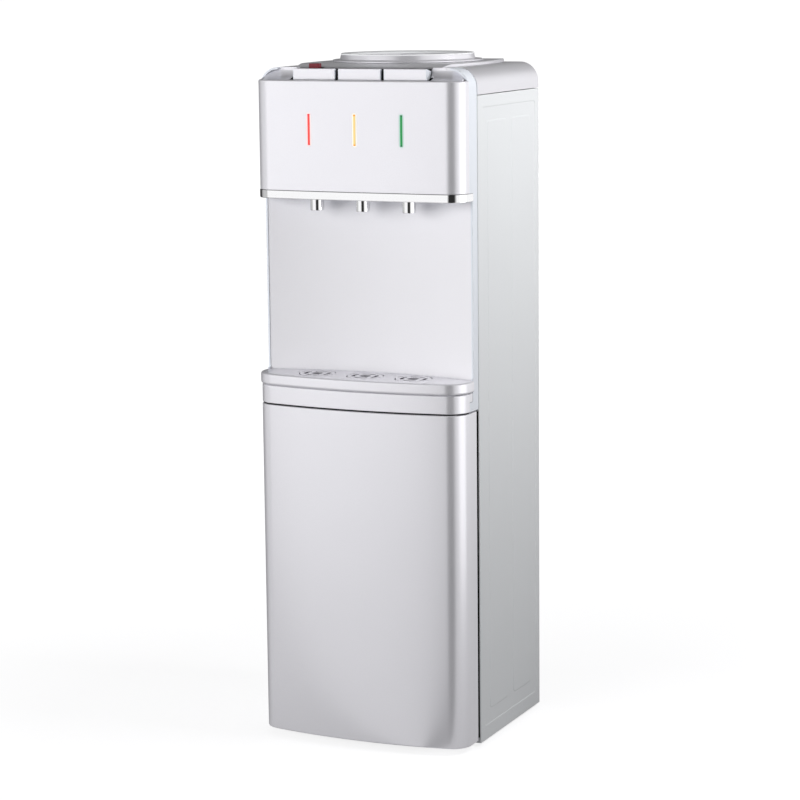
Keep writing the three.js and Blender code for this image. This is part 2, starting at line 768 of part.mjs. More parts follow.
// Keys: a bevelled bar in front of the deck, an arm back under the crown and a pivot boss
for (const [name, side] of Object.entries(outlets)) {
  const x = side * keyPitch;
  const armBottom = keyBottom + key.armLift;
  const bar = across([
    [keyFront, keyBottom],
    [keyRear, keyBottom],
    [keyRear, keyTop],
    [keyFront + key.bevel, keyTop],
    [keyFront, keyTop - key.bevel],
  ], x - keyWidth / 2, x + keyWidth / 2);
  const arm = block(
    x - armHalf,
    x + armHalf,
    keyRear - overrun,
    pivot.y + key.tail,
    armBottom,
    armBottom + key.arm,
  );
  const boss = rodAcross(pivot.y, pivotZ, pivot.boss, x - armHalf, x + armHalf, pivot.sides);
  const bore = rodAcross(
    pivot.y,
    pivotZ,
    pivot.bore,
    x - armHalf - overrun,
    x + armHalf + overrun,
    pivot.sides,
  );
  add(`${name}_key`, cut(join(bar, arm, boss), bore), silverPaint);
}

add('key_shaft', rodAcross(pivot.y, pivotZ, pivot.shaft, -shaftHalf, shaftHalf, pivot.sides), zincSteel);

// Key carrier: a plate across the head that guides the plungers and carries the shaft's ears
const carrier = { lift: 3, thick: 2.5, front: 9, wide: 4.3, rear: 8, inset: 31 };
const carrierBottom = panelHeight + carrier.lift;
const ear = { in: 3, thick: 2.5, half: 6, over: 5 };
{
  const top = carrierBottom + carrier.thick;
  const rear = pivot.y + carrier.rear;
  const half = archInside - seat;
  const noseHalf = faceHalf - carrier.inset;
  const plate = join(
    block(-noseHalf, noseHalf, head.front + carrier.front, rear, carrierBottom, top),
    block(-half, half, head.rear + carrier.wide, rear, carrierBottom, top),
  );
  const ears = [-1, 1].map((side) => {
    const x = side * (shaftHalf - ear.in + ear.thick / 2);
    const [x0, x1] = [x - ear.thick / 2, x + ear.thick / 2];
    return block(x0, x1, pivot.y - ear.half, pivot.y + ear.half, top - overrun, pivotZ + ear.over);
  });
  const guides = Object.values(outlets).map((side) => upright(
    side * outletPitch,
    outletY,
    plunger.radius + seat,
    carrierBottom - overrun,
    top + overrun,
    plunger.sides,
  ));
  const bore = rodAcross(pivot.y, pivotZ, pivot.bore, -shaftHalf, shaftHalf, pivot.sides);
  add('key_carrier', cut(join(plate, ...ears), bore, ...guides), zincSteel);
}

// Child lock: a small slider in the deck's notch, its stem reaching down over the hot key's arm
{
  const bottom = deckTop - lock.floor + seat;
  const slider = block(
    lockX - lock.half,
    lockX + lock.half,
    lockFront,
    lockFront + lock.depth,
    bottom,
    deckTop + lock.rise,
  );
  const stem = block(
    lockX - lock.stemHalf,
    lockX + lock.stemHalf,
    stemFront,
    stemFront + lock.stemDepth,
    shoulderTop - lock.stemBottom,
    bottom + overrun,
  );
  add('child_lock', join(slider, stem), finish(0x6d1f2c, 0.5));
}

// Light bars, each with a brim behind its slot, and the board that carries the lamps
const lightLooks = {
  hot_light: [-1, finish(0xff2a3c, 0.35)],
  power_light: [0, finish(0xffc21f, 0.35)],
  cold_light: [1, finish(0x23e05a, 0.35)],
};
for (const [name, [side, look]] of Object.entries(lightLooks)) {
  const x = side * outletPitch;
  const half = light.slot / 2 - seat;
  const front = bowY(head, x) - light.proud;
  const behind = bowY(head, Math.abs(x) - light.slot) + headWall + seat;
  const bar = backward(stadium(x, half, light.tall - 2 * seat), front, boardFront - seat);
  const brim = backward(
    stadium(x, half + light.brim, light.tall + 2 * light.brim),
    behind,
    behind + light.backing,
  );
  add(name, join(bar, brim), look);
}
add('indicator_board', block(
  -boardHalf,
  boardHalf,
  boardFront,
  boardRear,
  lightMiddle - board.tall / 2,
  lightMiddle + board.tall / 2,
), finish(0x1f6b3a, 0.5));

// Alcove panel: a hollow-curved wall behind the taps, its foot standing in the tray housing
const alcoveHalf = archInside - seat;
const sideways = (reach, radius) => Math.asin(reach / radius);
// The space in front of the alcove wall, less a gap, standing between two heights
const beforeAlcove = (gap, z0, z1) => {
  const radius = alcoveBow - gap;
  const swing = sideways(bodyHalf + overrun, radius);
  const wide = bodyHalf + overrun;
  const far = -2 * trayReach;
  return standing([
    ...arcPoints(0, alcoveCentre, radius, Math.PI / 2 - swing, Math.PI / 2 + swing, bowSteps),
    [-wide, far],
    [wide, far],
  ], z0, z1);
};
const housingInside = archInside - seat - wall;
{
  const floor = housingBottom + wall + seat;
  const curved = cut(
    beforeAlcove(-wall, floor, alcoveTop),
    beforeAlcove(0, floor - overrun, alcoveTop + overrun),
  );
  const width = join(
    block(-alcoveHalf, alcoveHalf, -trayReach, panelDepth, trayBottom, alcoveTop),
    block(seat - housingInside, housingInside - seat, -trayReach, panelDepth, floor, trayBottom + overrun),
  );
  add('alcove_panel', common(curved, width), whitePlastic);
}

// Tray housing: a pan that carries the drip tray's rim and takes the alcove panel's foot
const hinge = { inset: 8, y: -14, pin: 2.5, bore: 2.8, sides: 12 };
const hingeX = hinge.inset - faceHalf;
{
  const rear = alcoveDeep + wall + overrun + wall;
  const pan = (inset, z0, z1) => join(
    standing(bowed({ ...housing, rear: housing.rear - inset }, inset), z0, z1),
    block(
      inset + seat - archInside,
      archInside - seat - inset,
      housing.rear - 2 * inset - overrun,
      frameRear - inset,
      z0,
      z1,
    ),
    block(inset - flangeInside, flangeInside - inset, frameRear - 2 * wall, rear - inset, z0, z1),
  );
  const hole = upright(
    hingeX,
    hinge.y,
    hinge.bore,
    housingBottom - overrun,
    housingBottom + wall + overrun,
    hinge.sides,
  );
  const inside = pan(wall, housingBottom + wall, housingTop + overrun);
  add('tray_housing', cut(pan(0, housingBottom, housingTop), inside, hole), silverPaint);
}

// Drip tray: a bowed rim whose rear follows the alcove wall, and a basin that hangs in the housing
const trayGap = 0.5;
const trayStepGap = 0.6;
const trayStep = archFront.tray - trayStepGap;
const trayLip = 5;
const basin = { inset: 8.5, hang: 16.5, before: 20 };
const basinBottom = trayBottom - basin.hang;
const basinRear = alcoveDeep - basin.before;
const grille = { thick: 2, below: 0.2 };
const trayPlan = (inset, z0, z1) => {
  const front = common(
    standing(bowed(tray, inset), z0, z1),
    block(-bodyWidth, bodyWidth, -2 * trayReach, trayStep - inset, z0 - overrun, z1 + overrun),
  );
  const half = archInside - seat - seat - inset;
  const back = block(-half, half, trayStep - inset - overrun, bodyHalf, z0, z1);
  return common(join(front, back), beforeAlcove(trayGap + inset, z0 - overrun, z1 + overrun));
};
const ledge = trayTop - grille.below - grille.thick - seat;
{
  const edge = 3;
  const edgeSteps = 2;
  const softened = roundedFront(tray, trayBottom - 2 * edge, trayTop, edge, edgeSteps);
  const rim = common(trayPlan(0, trayBottom, trayTop + overrun), softened);
  const hung = common(
    trayPlan(basin.inset, basinBottom, trayBottom + wall),
    block(-bodyWidth, bodyWidth, -bodyWidth, basinRear, basinBottom, trayTop),
  );
  const inset = basin.inset + wall;
  const hollow = common(
    trayPlan(inset, basinBottom + wall, trayTop + overrun),
    block(-bodyWidth, bodyWidth, -bodyWidth, basinRear - wall, basinBottom, trayTop + 2 * overrun),
  );
  add('drip_tray', cut(join(rim, hung), hollow, trayPlan(trayLip, ledge, trayTop + overrun)), silverPaint);
}

// Drip grille: a plate in the tray's recess with a ring of slots under each outlet
const drain = { pitch: 70.5, y: -29.5, centre: 8, slotAt: 14, slot: 5, spokes: 4, bridge: 0.35, steps: 3 };
const drainLine = { at: 24.5, width: 1.6, arcs: 4, bridge: 0.3 };
{
  const bottom = ledge + seat;
  const top = bottom + grille.thick;
  const tools = [];
  const arcSlot = (x, radius, width, from, to) => standing([
    ...arcPoints(x, drain.y, radius + width / 2, from, to, drain.steps),
    ...arcPoints(x, drain.y, radius - width / 2, to, from, drain.steps),
  ], bottom - overrun, top + overrun);
  for (const side of Object.values(outlets)) {
    const x = side * drain.pitch;
    tools.push(upright(x, drain.y, drain.centre, bottom - overrun, top + overrun, tapSides));
    for (let i = 0; i < drain.spokes; i += 1) {
      const turn = (2 * Math.PI) / drain.spokes;
      const from = i * turn + drain.bridge / 2;
      tools.push(arcSlot(x, drain.slotAt, drain.slot, from, from + turn - drain.bridge));
    }
    for (let i = 0; i < drainLine.arcs; i += 1) {
      const turn = (2 * Math.PI) / drainLine.arcs;
      const from = i * turn + drainLine.bridge / 2;
      tools.push(arcSlot(x, drainLine.at, drainLine.width, from, from + turn - drainLine.bridge));
    }
  }
  add('drip_grille', cut(trayPlan(trayLip + seat, bottom, top), ...tools), silverPaint);
}

// Door: an outer shell and a stepped inner pan, hung on an upper and a lower pin
const doorEdge = 1.5;
{
  const shell = roundedFront(door, doorBottom, doorTop, doorEdge, 2);
  const inside = standing(
    bowed({ ...door, rear: door.rear + overrun }, wall),
    doorBottom + wall,
    doorTop - wall,
  );
  const holes = upright(
    hingeX,
    hinge.y,
    hinge.bore,
    doorBottom - overrun,
    doorTop + overrun,
    hinge.sides,
  );
  add('door_shell', cut(shell, inside, holes), silverPaint);
}
const liner = { border: 26, depth: 8.5, borderHeight: 34 };
{
  const half = door.half - wall - seat;
  const bottom = doorBottom + wall + seat;
  const top = doorTop - wall - seat;
  const step = (inset, y0, y1) => block(
    inset + liner.border - half,
    half - liner.border - inset,
    y0,
    y1,
    bottom + liner.borderHeight + inset,
    top - liner.borderHeight - inset,
  );
  const plate = block(-half, half, door.rear - wall, door.rear, bottom, top);
  const raisedPan = step(0, door.rear - liner.depth, door.rear - wall / 2);
  const sunk = step(wall, door.rear - liner.depth + wall, door.rear + overrun);
  add('door_liner', cut(join(plate, raisedPan), sunk), whitePlastic);
}

const upperPin = { drop: 9.6, over: 2.2, flange: 6 };
{
  const flangeBottom = doorTop + seat;
  const flangeTop = housingBottom - seat;
  const pin = turned([
    [0, doorTop - upperPin.drop],
    [hinge.pin, doorTop - upperPin.drop],
    [hinge.pin, flangeBottom],
    [upperPin.flange, flangeBottom],
    [upperPin.flange, flangeTop],
    [hinge.pin, flangeTop],
    [hinge.pin, housingBottom + upperPin.over],
    [0, housingBottom + upperPin.over],
  ], hingeX, hinge.y, hinge.sides);
  add('upper_hinge_pin', pin, zincSteel);
}

const bracket = { thick: 2.3, inset: 3, width: 33, reach: 8, tab: 18, boss: 5, pin: 7.6 };
{
  const left = bracket.inset - faceHalf;
  const right = left + bracket.width;
  const front = hinge.y - bracket.reach;
  const tabLeft = -flangeInside;
  const tabFront = seat - insideFront + sheet;
  const tabRear = insideFront - seat;
  const plateTopZ = seat + bracket.thick;
  const plate = join(
    block(left, right, front, frameRear, seat, plateTopZ),
    block(tabLeft, right, frameRear - overrun, tabRear, seat, plateTopZ),
    block(tabLeft, right, tabFront, tabRear, seat, bracket.tab),
  );
  const pin = turned([
    [0, seat],
    [bracket.boss, seat],
    [bracket.boss, doorBottom - seat],
    [hinge.pin, doorBottom - seat],
    [hinge.pin, doorBottom - seat + bracket.pin],
    [0, doorBottom - seat + bracket.pin],
  ], hingeX, hinge.y, hinge.sides);
  add('lower_hinge_bracket', join(plate, pin), zincSteel);
}

// Cabinet liner: a stepped storage box, deep above the compressor, with a flange behind the door
const storeHalf = flangeInside - store.inset;
const storeFloor = base.height + store.under;
const storeRear = insideRear - store.behind;
{
  const profile = (inset) => [
    [-inset, storeFloor + inset],
    [storeShallow - inset, storeFloor + inset],
    [storeShallow - inset, store.step + inset],
    [storeRear - inset, store.step + inset],
    [storeRear - inset, storeTop - inset],
    [-inset, storeTop - inset],
  ];
  const box = across(profile(0), -storeHalf, storeHalf);
  const brim = block(
    -flangeInside,
    flangeInside,
    0,
    store.wall,
    base.height + seat,
    housingBottom - seat,
  );
  const inside = across(profile(store.wall), store.wall - storeHalf, storeHalf - store.wall);
  add('cabinet_liner', cut(join(box, brim), inside), whitePlastic);
}

const magnet = { inset: 0.7, width: 14, height: 30, bottom: 400 };
const magnetOuter = flangeInside - magnet.inset;
add('door_magnet', block(
  magnetOuter - magnet.width,
  magnetOuter,
  door.rear + seat + seat,
  -seat,
  magnet.bottom,
  magnet.bottom + magnet.height,
), blackRubber);

// Bottle collar: a skirt in the deck's hole, a flange on the deck, a raised rim and an inner dish
const rim = { mouth: 74, rise: 11, foot: 16.4, outer: 15.4, crest: 12.4, inner: 2, lip: 1.5 };
const dish = { rise: 3, inner: 4, thick: 2.5, throat: 2, throatDrop: 6, skirtWall: 3.6, skirtRise: 7 };
const rimTop = deckTop + rim.rise;
const rimOuter = rim.mouth + rim.outer;
const ledgeZ = deckTop + dish.rise;
const ledgeInner = rim.mouth - dish.inner;
{
  const flangeBottom = deckTop + seat;
  const flangeTop = flangeBottom + collar.flangeThick;
  const skirtBottom = deckTop - collar.skirtDrop;
  const body = turned([
    [collar.skirt - dish.skirtWall, skirtBottom],
    [collar.skirt, skirtBottom],
    [collar.skirt, flangeBottom],
    [collar.flange, flangeBottom],
    [collar.flange, flangeTop],
    [rim.mouth + rim.foot, ledgeZ + seat],
    [rimOuter, ledgeZ + seat + overrun],
    [rimOuter, rimTop - seat - wall],
    [rimOuter - seat - seat, rimTop - overrun],
    [rim.mouth + rim.crest, rimTop],
    [rim.mouth + rim.inner, rimTop],
    [rim.mouth, rimTop - rim.lip],
    [rim.mouth, ledgeZ],
    [ledgeInner, ledgeZ],
    [ledgeInner, ledgeZ - dish.thick],
    [rim.mouth + dish.throat, ledgeZ - dish.throatDrop],
    [collar.skirt - dish.skirtWall, skirtBottom + dish.skirtRise],
  ], 0, tankY, ringSides);
  add('bottle_collar', body, palePlastic);
}

// Water guard: a funnel hung on the collar's ledge, with a well and a hollow spike for the bottle
const guard = { thick: 2, well: 32, depth: 76, cone: 20, spike: 8, spikeTop: 42 };
const guardBrim = rim.mouth - seat;
const wellBottom = ledgeZ - guard.depth;
const wellShoulder = ledgeZ - guard.cone;
const guardHole = { radius: 3, at: 20, count: 6, sides: 10 };
{
  const brimBottom = ledgeZ + seat;
  const inner = guard.well - guard.thick;
  const floor = wellBottom + wall;
  const body = turned([
    [0, wellBottom],
    [guard.well, wellBottom],
    [guard.well, wellShoulder],
    [ledgeInner - seat - seat, brimBottom],
    [guardBrim, brimBottom],
    [guardBrim, brimBottom + guard.thick],
    [ledgeInner + overrun, brimBottom + guard.thick],
    [guard.well + overrun, wellShoulder + wall],
    [inner, wellShoulder - overrun],
    [inner, floor],
    [guard.spike, floor],
    [guard.spike - overrun, floor + guard.spikeTop - guard.spike - guard.thick],
    [guard.spike / 2, floor + guard.spikeTop - guard.thick],
    [0, floor + guard.spikeTop],
  ], 0, tankY, ringSides);
  const holes = Array.from({ length: guardHole.count }, (_, i) => {
    const angle = (2 * Math.PI * i) / guardHole.count;
    const x = guardHole.at * Math.cos(angle);
    const y = tankY + guardHole.at * Math.sin(angle);
    return upright(x, y, guardHole.radius, wellBottom - overrun, floor + overrun, guardHole.sides);
  });
  add('water_guard', cut(body, ...holes), palePlastic);
}

// Cold tank in its foam, on a shelf across the side panels
const shelfTop = shelf.bottom + shelf.thick;
const coldTank = { radius: 70, sheet: 1, lift: 17, under: 4, sides: 24 };
const coldBottom = shelfTop + coldTank.lift;
const coldTop = panelHeight - coldTank.under;
const neck = { radius: 6, bore: 3.5, over: 0.9, sides: 14 };
const jacket = { thick: 18, lift: 1, over: 7 };
const jacketRadius = coldTank.radius + jacket.thick;
const jacketBottom = shelfTop + jacket.lift;
const jacketTop = coldTop + jacket.over;
const tankNeckHole = neck.radius + seat;
{
  const cup = turned([
    [tankNeckHole, coldBottom],
    [coldTank.radius, coldBottom],
    [coldTank.radius, coldTop],
    [coldTank.radius - coldTank.sheet, coldTop],
    [coldTank.radius - coldTank.sheet, coldBottom + coldTank.sheet],
    [tankNeckHole, coldBottom + coldTank.sheet],
  ], 0, tankY, coldTank.sides);
  add('cold_tank', cup, stainless);
  const jacketInner = coldTank.radius + seat;
  const cover = turned([
    [tankNeckHole, jacketBottom],
    [jacketRadius, jacketBottom],
    [jacketRadius, jacketTop],
    [jacketInner, jacketTop],
    [jacketInner, coldBottom - seat],
    [tankNeckHole, coldBottom - seat],
  ], 0, tankY, coldTank.sides);
  add('tank_insulation', cover, foam);
}

const tube = { radius: 5, sides: 8, bend: 14, below: 40 };
const hotFall = { x: -outletPitch, y: 24 };
{
  const z0 = shelf.bottom;
  const z1 = z0 + shelf.thick;
  const plate = block(-panelInside, panelInside, shelf.front, insideRear, z0, z1);
  const neckHole = upright(0, tankY, tankNeckHole, z0 - overrun, z1 + overrun, neck.sides);
  const tubeHole = upright(
    hotFall.x,
    hotFall.y,
    tube.radius + runGap,
    z0 - overrun,
    z1 + overrun,
    tapSides,
  );
  add('tank_shelf', cut(plate, neckHole, tubeHole), zincSteel);
}

// Hot tank: a closed pot whose neck runs up into the cold tank, and whose stub drains it
const hotTank = { radius: 50, sheet: 1.2, round: 4, stub: 12, sides: 20 };
{
  const inner = hotTank.radius - hotTank.sheet;
  const innerTop = hotTop - hotTank.sheet;
  const innerBottom = hotBottom + hotTank.sheet;
  const pot = turned([
    [0, hotBottom - hotTank.stub],
    [neck.radius, hotBottom - hotTank.stub],
    [neck.radius, hotBottom],
    [hotTank.radius - hotTank.round, hotBottom],
    [hotTank.radius, hotBottom + hotTank.round],
    [hotTank.radius, hotTop - hotTank.round],
    [hotTank.radius - hotTank.round, hotTop],
    [neck.radius, hotTop],
    [neck.radius, coldBottom + neck.over],
    [neck.bore, coldBottom + neck.over],
    [neck.bore, innerTop],
    [inner - hotTank.round, innerTop],
    [inner, innerTop - hotTank.round],
    [inner, innerBottom + hotTank.round],
    [inner - hotTank.round, innerBottom],
    [0, innerBottom],
  ], 0, tankY, hotTank.sides);
  add('hot_tank', pot, stainless);
}

const cradle = { thick: 2, lift: 15, height: 20, legX: 31 };
const cradleBottom = hotBottom + cradle.lift;
{
  const inner = hotTank.radius + seat;
  const top = cradleBottom + cradle.height;
  const ring = turned([
    [inner, cradleBottom],
    [inner + cradle.thick, cradleBottom],
    [inner + cradle.thick, top],
    [inner, top],
  ], 0, tankY, hotTank.sides);
  const legs = [-1, 1].map((side) => {
    const x = side * cradle.legX;
    const leg = block(
      x - cradle.thick / 2,
      x + cradle.thick / 2,
      tankY + cradle.legX,
      insideRear,
      cradleBottom,
      top,
    );
    const room = [inner + cradle.thick / 2, cradleBottom - overrun, top + overrun, hotTank.sides];
    return cut(leg, upright(0, tankY, ...room));
  });
  add('hot_tank_bracket', join(ring, ...legs), zincSteel);
}

// Tubes from the taps back to the tanks: hot down through the shelf, the other two into the foam
{
  const start = inlet.rear + seat;
  // A place level with the tank axis, at a distance from it, in line with an outlet's side
  const around = (x, y, distance, z) => {
    const away = new THREE.Vector2(x, y - tankY).normalize().multiplyScalar(distance);
    return [away.x, tankY + away.y, z];
  };
  const hotEntry = hotTop - tube.below;
  const hotEnd = hotTank.radius + seat;
  const foamEnd = jacketRadius + seat;
  add('hot_tube', pipe([
    [-outletPitch, start, inletZ],
    [hotFall.x, hotFall.y, inletZ],
    [hotFall.x, hotFall.y, hotEntry],
    around(hotFall.x, hotFall.y, hotEnd, hotEntry),
  ], tube.bend, tube.radius, tube.sides), silicone);
  add('room_tube', pipe([
    [0, start, inletZ],
    [0, tankY - foamEnd, inletZ],
  ], tube.bend, tube.radius, tube.sides), silicone);
  add('cold_tube', pipe([
    [outletPitch, start, inletZ],
    [outletPitch, tube.bend, inletZ],
    around(outletPitch, tube.bend, foamEnd, inletZ),
  ], tube.bend, tube.radius, tube.sides), silicone);
}

// Compressor: a domed pot on a plate with four feet in the base pan
const pot = { x: -30, radius: 55, seam: 2, bottom: 12, top: 135, sides: 20 };
const potPlate = { half: 60, depth: 50, thick: 3, foot: 7, footIn: 9, sides: 10 };
{
  const plateBottomZ = pot.bottom - potPlate.thick / 2;
  const seamZ = (pot.bottom + pot.top) / 2;
  const body = turned([
    [0, pot.bottom],
    [pot.radius - pot.seam * 3, pot.bottom],
    [pot.radius, pot.bottom + pot.seam * 3],
    [pot.radius, seamZ - pot.seam],
    [pot.radius + pot.seam, seamZ - pot.seam],
    [pot.radius + pot.seam, seamZ + pot.seam],
    [pot.radius, seamZ + pot.seam],
    ...arcPoints(0, 0, 1, 0, Math.PI / 2, 5).map(([u, v]) => [
      pot.radius * u,
      pot.top - (pot.top - seamZ) / 2 * (1 - v),
    ]),
  ], pot.x, potY, pot.sides);
  const plate = block(
    pot.x - potPlate.half,
    pot.x + potPlate.half,
    potY - potPlate.depth,
    potY + potPlate.depth,
    plateBottomZ,
    plateBottomZ + potPlate.thick,
  );
  const feet = [-1, 1].flatMap((side) => [-1, 1].map((back) => upright(
    pot.x + side * (potPlate.half - potPlate.footIn),
    potY + back * (potPlate.depth - potPlate.footIn),
    potPlate.foot,
    base.floor + seat,
    plateBottomZ + potPlate.thick + overrun,
    potPlate.sides,
  )));
  add('compressor', join(body, plate, ...feet), blackSteel);
}

// Refrigerant pipes: suction up to the shelf, discharge through the back panel to the condenser
const copperPipe = { radius: 3, bend: 10, sides: 8 };
const rearGap = 10.5; // pipe axes ahead of the back panel
const riser = { shift: 18, startZ: 84, below: 22 };
const riserEnd = pipeX - riser.shift;
const riserTurn = shelf.bottom - riser.below;
add('suction_pipe', pipe([
  [pot.x + pot.radius + seat, potY, riser.startZ],
  [pipeX, potY, riser.startZ],
  [pipeX, backPanelFront - rearGap, riser.startZ],
  [pipeX, backPanelFront - rearGap, riserTurn],
  [riserEnd, backPanelFront - 2 * rearGap, riserTurn],
  [riserEnd, backPanelFront - 2 * rearGap, shelf.bottom - seat],
], copperPipe.bend, copperPipe.radius, copperPipe.sides), copper);

const coil = { inset: 37, passes: 10, bottom: 90, pitch: 38.9, radius: 2.4, behind: 2.6, sides: 6 };
const coilHalf = bodyHalf - coil.inset;
const coilY = panelDepth + condenserReach - coil.radius - coil.behind;
add('discharge_pipe', pipe([
  [pot.x - pot.radius - seat, potY, discharge.height],
  [pot.x - pot.radius - 2 * copperPipe.bend, potY, discharge.height],
  [-pipeX, backPanelFront - 2 * rearGap, discharge.height],
  [-pipeX, coilY, discharge.height],
  [-pipeX, coilY, coil.bottom - coil.radius - seat],
], copperPipe.bend, discharge.radius, copperPipe.sides), copper);

// Condenser: one serpentine pipe clipped to two straps that stand off the back panel
const strap = { in: 20, half: 4, thick: 3.2, over: 10, foot: 3 };
const strapX = coilHalf - strap.in;
{
  const corners = Array.from({ length: coil.passes }, (_, i) => {
    const z = coil.bottom + i * coil.pitch;
    const side = i % 2 === 0 ? 1 : -1;
    return [[-side * coilHalf, coilY, z], [side * coilHalf, coilY, z]];
  }).flat();
  const bend = coil.pitch / 2 - coil.radius;
  const serpentine = pipe(corners, bend, coil.radius, coil.sides);
  const rear = panelDepth + condenserReach;
  const z0 = coil.bottom - strap.over;
  const z1 = coil.bottom + (coil.passes - 1) * coil.pitch + strap.over;
  const straps = [-1, 1].flatMap((side) => {
    const x0 = side * strapX - strap.half;
    const x1 = side * strapX + strap.half;
    const legFront = backPanelRear + seat;
    return [
      block(x0, x1, rear - strap.thick, rear, z0, z1),
      block(x0, x1, legFront, rear, z0, z0 + strap.foot),
      block(x0, x1, legFront, rear, z1 - strap.foot, z1),
    ];
  });
  add('condenser', join(serpentine, ...straps), blackSteel);
}

// Control box behind the switches, open to the back panel
const controlsFront = insideRear - controls.deep;
const controlsBottom = switchZ - controls.tallHalf;
const controlsTop = switchZ + controls.tallHalf;
{
  const box = block(
    -controlsHalf,
    controlsHalf,
    controlsFront,
    insideRear,
    controlsBottom,
    controlsTop,
  );
  const inside = block(
    controls.wall - controlsHalf,
    controlsHalf - controls.wall,
    controlsFront + controls.wall,
    insideRear + overrun,
    controlsBottom + controls.wall,
    controlsTop - controls.wall,
  );
  add('control_box', cut(box, inside), zincSteel);
}

// Rocker switches, tipped to one side of their pivots
const rockerY = backPanelFront - rocker.dish;
for (const [name, side] of [['hot_switch', -1], ['cold_switch', 1]]) {
  const tip = (y, z) => {
    const [c, s] = [Math.cos(rocker.tilt), -Math.sin(rocker.tilt)];
    return [rockerY + y * c - z * s, switchZ + y * s + z * c];
  };
  const x = (side * switchAt.apart) / 2;
  const profile = [
    tip(-rocker.body, -rocker.narrow),
    tip(rocker.face, -rocker.tall),
    tip(rocker.face - rocker.dish, 0),
    tip(rocker.face, rocker.tall),
    tip(-rocker.body, rocker.narrow),
  ];
  add(name, across(profile, x - rocker.half, x + rocker.half), blackSteel);
}

// Drain: a pipe from the hot tank to a spout at the back, with a plug and a screw cap
const drainPipe = { radius: 4.5, bend: 12, sides: 12 };
const spoutRear = backPanelRear + spout.reach;
{
  const line = pipe([
    [0, tankY, hotBottom - hotTank.stub - seat],
    [0, tankY, spoutZ],
    [0, backPanelFront, spoutZ],
  ], drainPipe.bend, drainPipe.radius, drainPipe.sides);
  const body = rodBack(0, spoutZ, spout.radius, backPanelFront - spout.root, spoutRear, spout.sides);
  const boreFront = backPanelRear + overrun;
  const bore = rodBack(0, spoutZ, spout.bore, boreFront, spoutRear + overrun, spout.sides);
  add('drain_pipe', cut(join(line, body), bore), whitePlastic);
}
const plug = { radius: 4.7, reach: 8, head: 7.6, headThick: 1.7 };
const cap = { radius: 11, inner: 8.4, end: 2.2, skirt: 13.3 };
{
  const headFront = spoutRear + seat;
  const headRear = headFront + plug.headThick;
  const body = join(
    rodBack(0, spoutZ, plug.radius, spoutRear - plug.reach, headRear, spout.sides),
    rodBack(0, spoutZ, plug.head, headFront, headRear, spout.sides),
  );
  add('drain_plug', body, silicone);
  const inside = headRear + seat;
  const cup = cut(
    rodBack(0, spoutZ, cap.radius, inside - cap.skirt, inside + cap.end, spout.sides),
    rodBack(0, spoutZ, cap.inner, inside - cap.skirt - overrun, inside, spout.sides),
  );
  add('drain_cap', cup, whitePlastic);
}

// Gland: a flanged bush in the back panel for the supply lead
{
  const collarFront = backPanelRear + seat;
  const through = rodBack(
    glandX,
    gland.height,
    gland.radius,
    backPanelFront - wall,
    backPanelRear + gland.reach,
    gland.sides,
  );
  const ring = rodBack(
    glandX,
    gland.height,
    gland.collar,
    collarFront,
    collarFront + gland.thick,
    gland.sides,
  );
  const bore = rodBack(
    glandX,
    gland.height,
    gland.bore,
    backPanelFront - 2 * wall,
    backPanelRear + gland.reach + overrun,
    gland.sides,
  );
  add('cord_gland', cut(join(through, ring), bore), blackRubber);
}

export default model;
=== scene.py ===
import math

import bmesh
import bpy
import numpy as np
from mathutils import Matrix, Vector


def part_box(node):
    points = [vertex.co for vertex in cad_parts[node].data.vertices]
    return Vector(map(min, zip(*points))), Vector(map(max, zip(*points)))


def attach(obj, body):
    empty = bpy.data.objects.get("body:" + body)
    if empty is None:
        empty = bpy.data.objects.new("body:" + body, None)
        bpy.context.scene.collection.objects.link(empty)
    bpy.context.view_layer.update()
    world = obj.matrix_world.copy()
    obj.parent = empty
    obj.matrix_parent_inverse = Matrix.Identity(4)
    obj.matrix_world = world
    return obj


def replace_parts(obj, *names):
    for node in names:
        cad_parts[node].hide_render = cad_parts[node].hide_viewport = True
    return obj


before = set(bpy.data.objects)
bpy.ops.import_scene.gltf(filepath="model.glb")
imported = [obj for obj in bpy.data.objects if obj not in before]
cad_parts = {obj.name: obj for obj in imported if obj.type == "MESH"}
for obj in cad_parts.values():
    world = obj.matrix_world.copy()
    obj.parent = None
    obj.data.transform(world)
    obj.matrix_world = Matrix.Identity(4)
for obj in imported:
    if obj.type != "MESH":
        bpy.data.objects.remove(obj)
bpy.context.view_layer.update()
mm = 0.001
scene = bpy.context.scene

# Camera: a long lens a little to the right of the machine and above it, looking slightly down.
camera_place = (1.44979, -3.19534, 1.03595)
camera_yaw = math.radians(24.432)
camera_pitch = math.radians(9.445)
camera_roll = math.radians(-0.615)
lens_mm = 116.43
sensor_mm = 36.0

sight = Vector((
    -math.sin(camera_yaw) * math.cos(camera_pitch),
    math.cos(camera_yaw) * math.cos(camera_pitch),
    -math.sin(camera_pitch),
))
level_right = Vector((math.cos(camera_yaw), math.sin(camera_yaw), 0))
level_up = level_right.cross(sight)
right = level_right * math.cos(camera_roll) + level_up * math.sin(camera_roll)
up = level_up * math.cos(camera_roll) - level_right * math.sin(camera_roll)
lens = bpy.data.cameras.new("camera")
lens.lens = lens_mm
lens.sensor_width = sensor_mm
lens.clip_end = 100
camera = bpy.data.objects.new("camera", lens)
turn = Matrix((right, up, -sight)).transposed().to_4x4()
camera.matrix_world = Matrix.Translation(camera_place) @ turn
scene.collection.objects.link(camera)
scene.camera = camera
scene.view_settings.view_transform = "Standard"


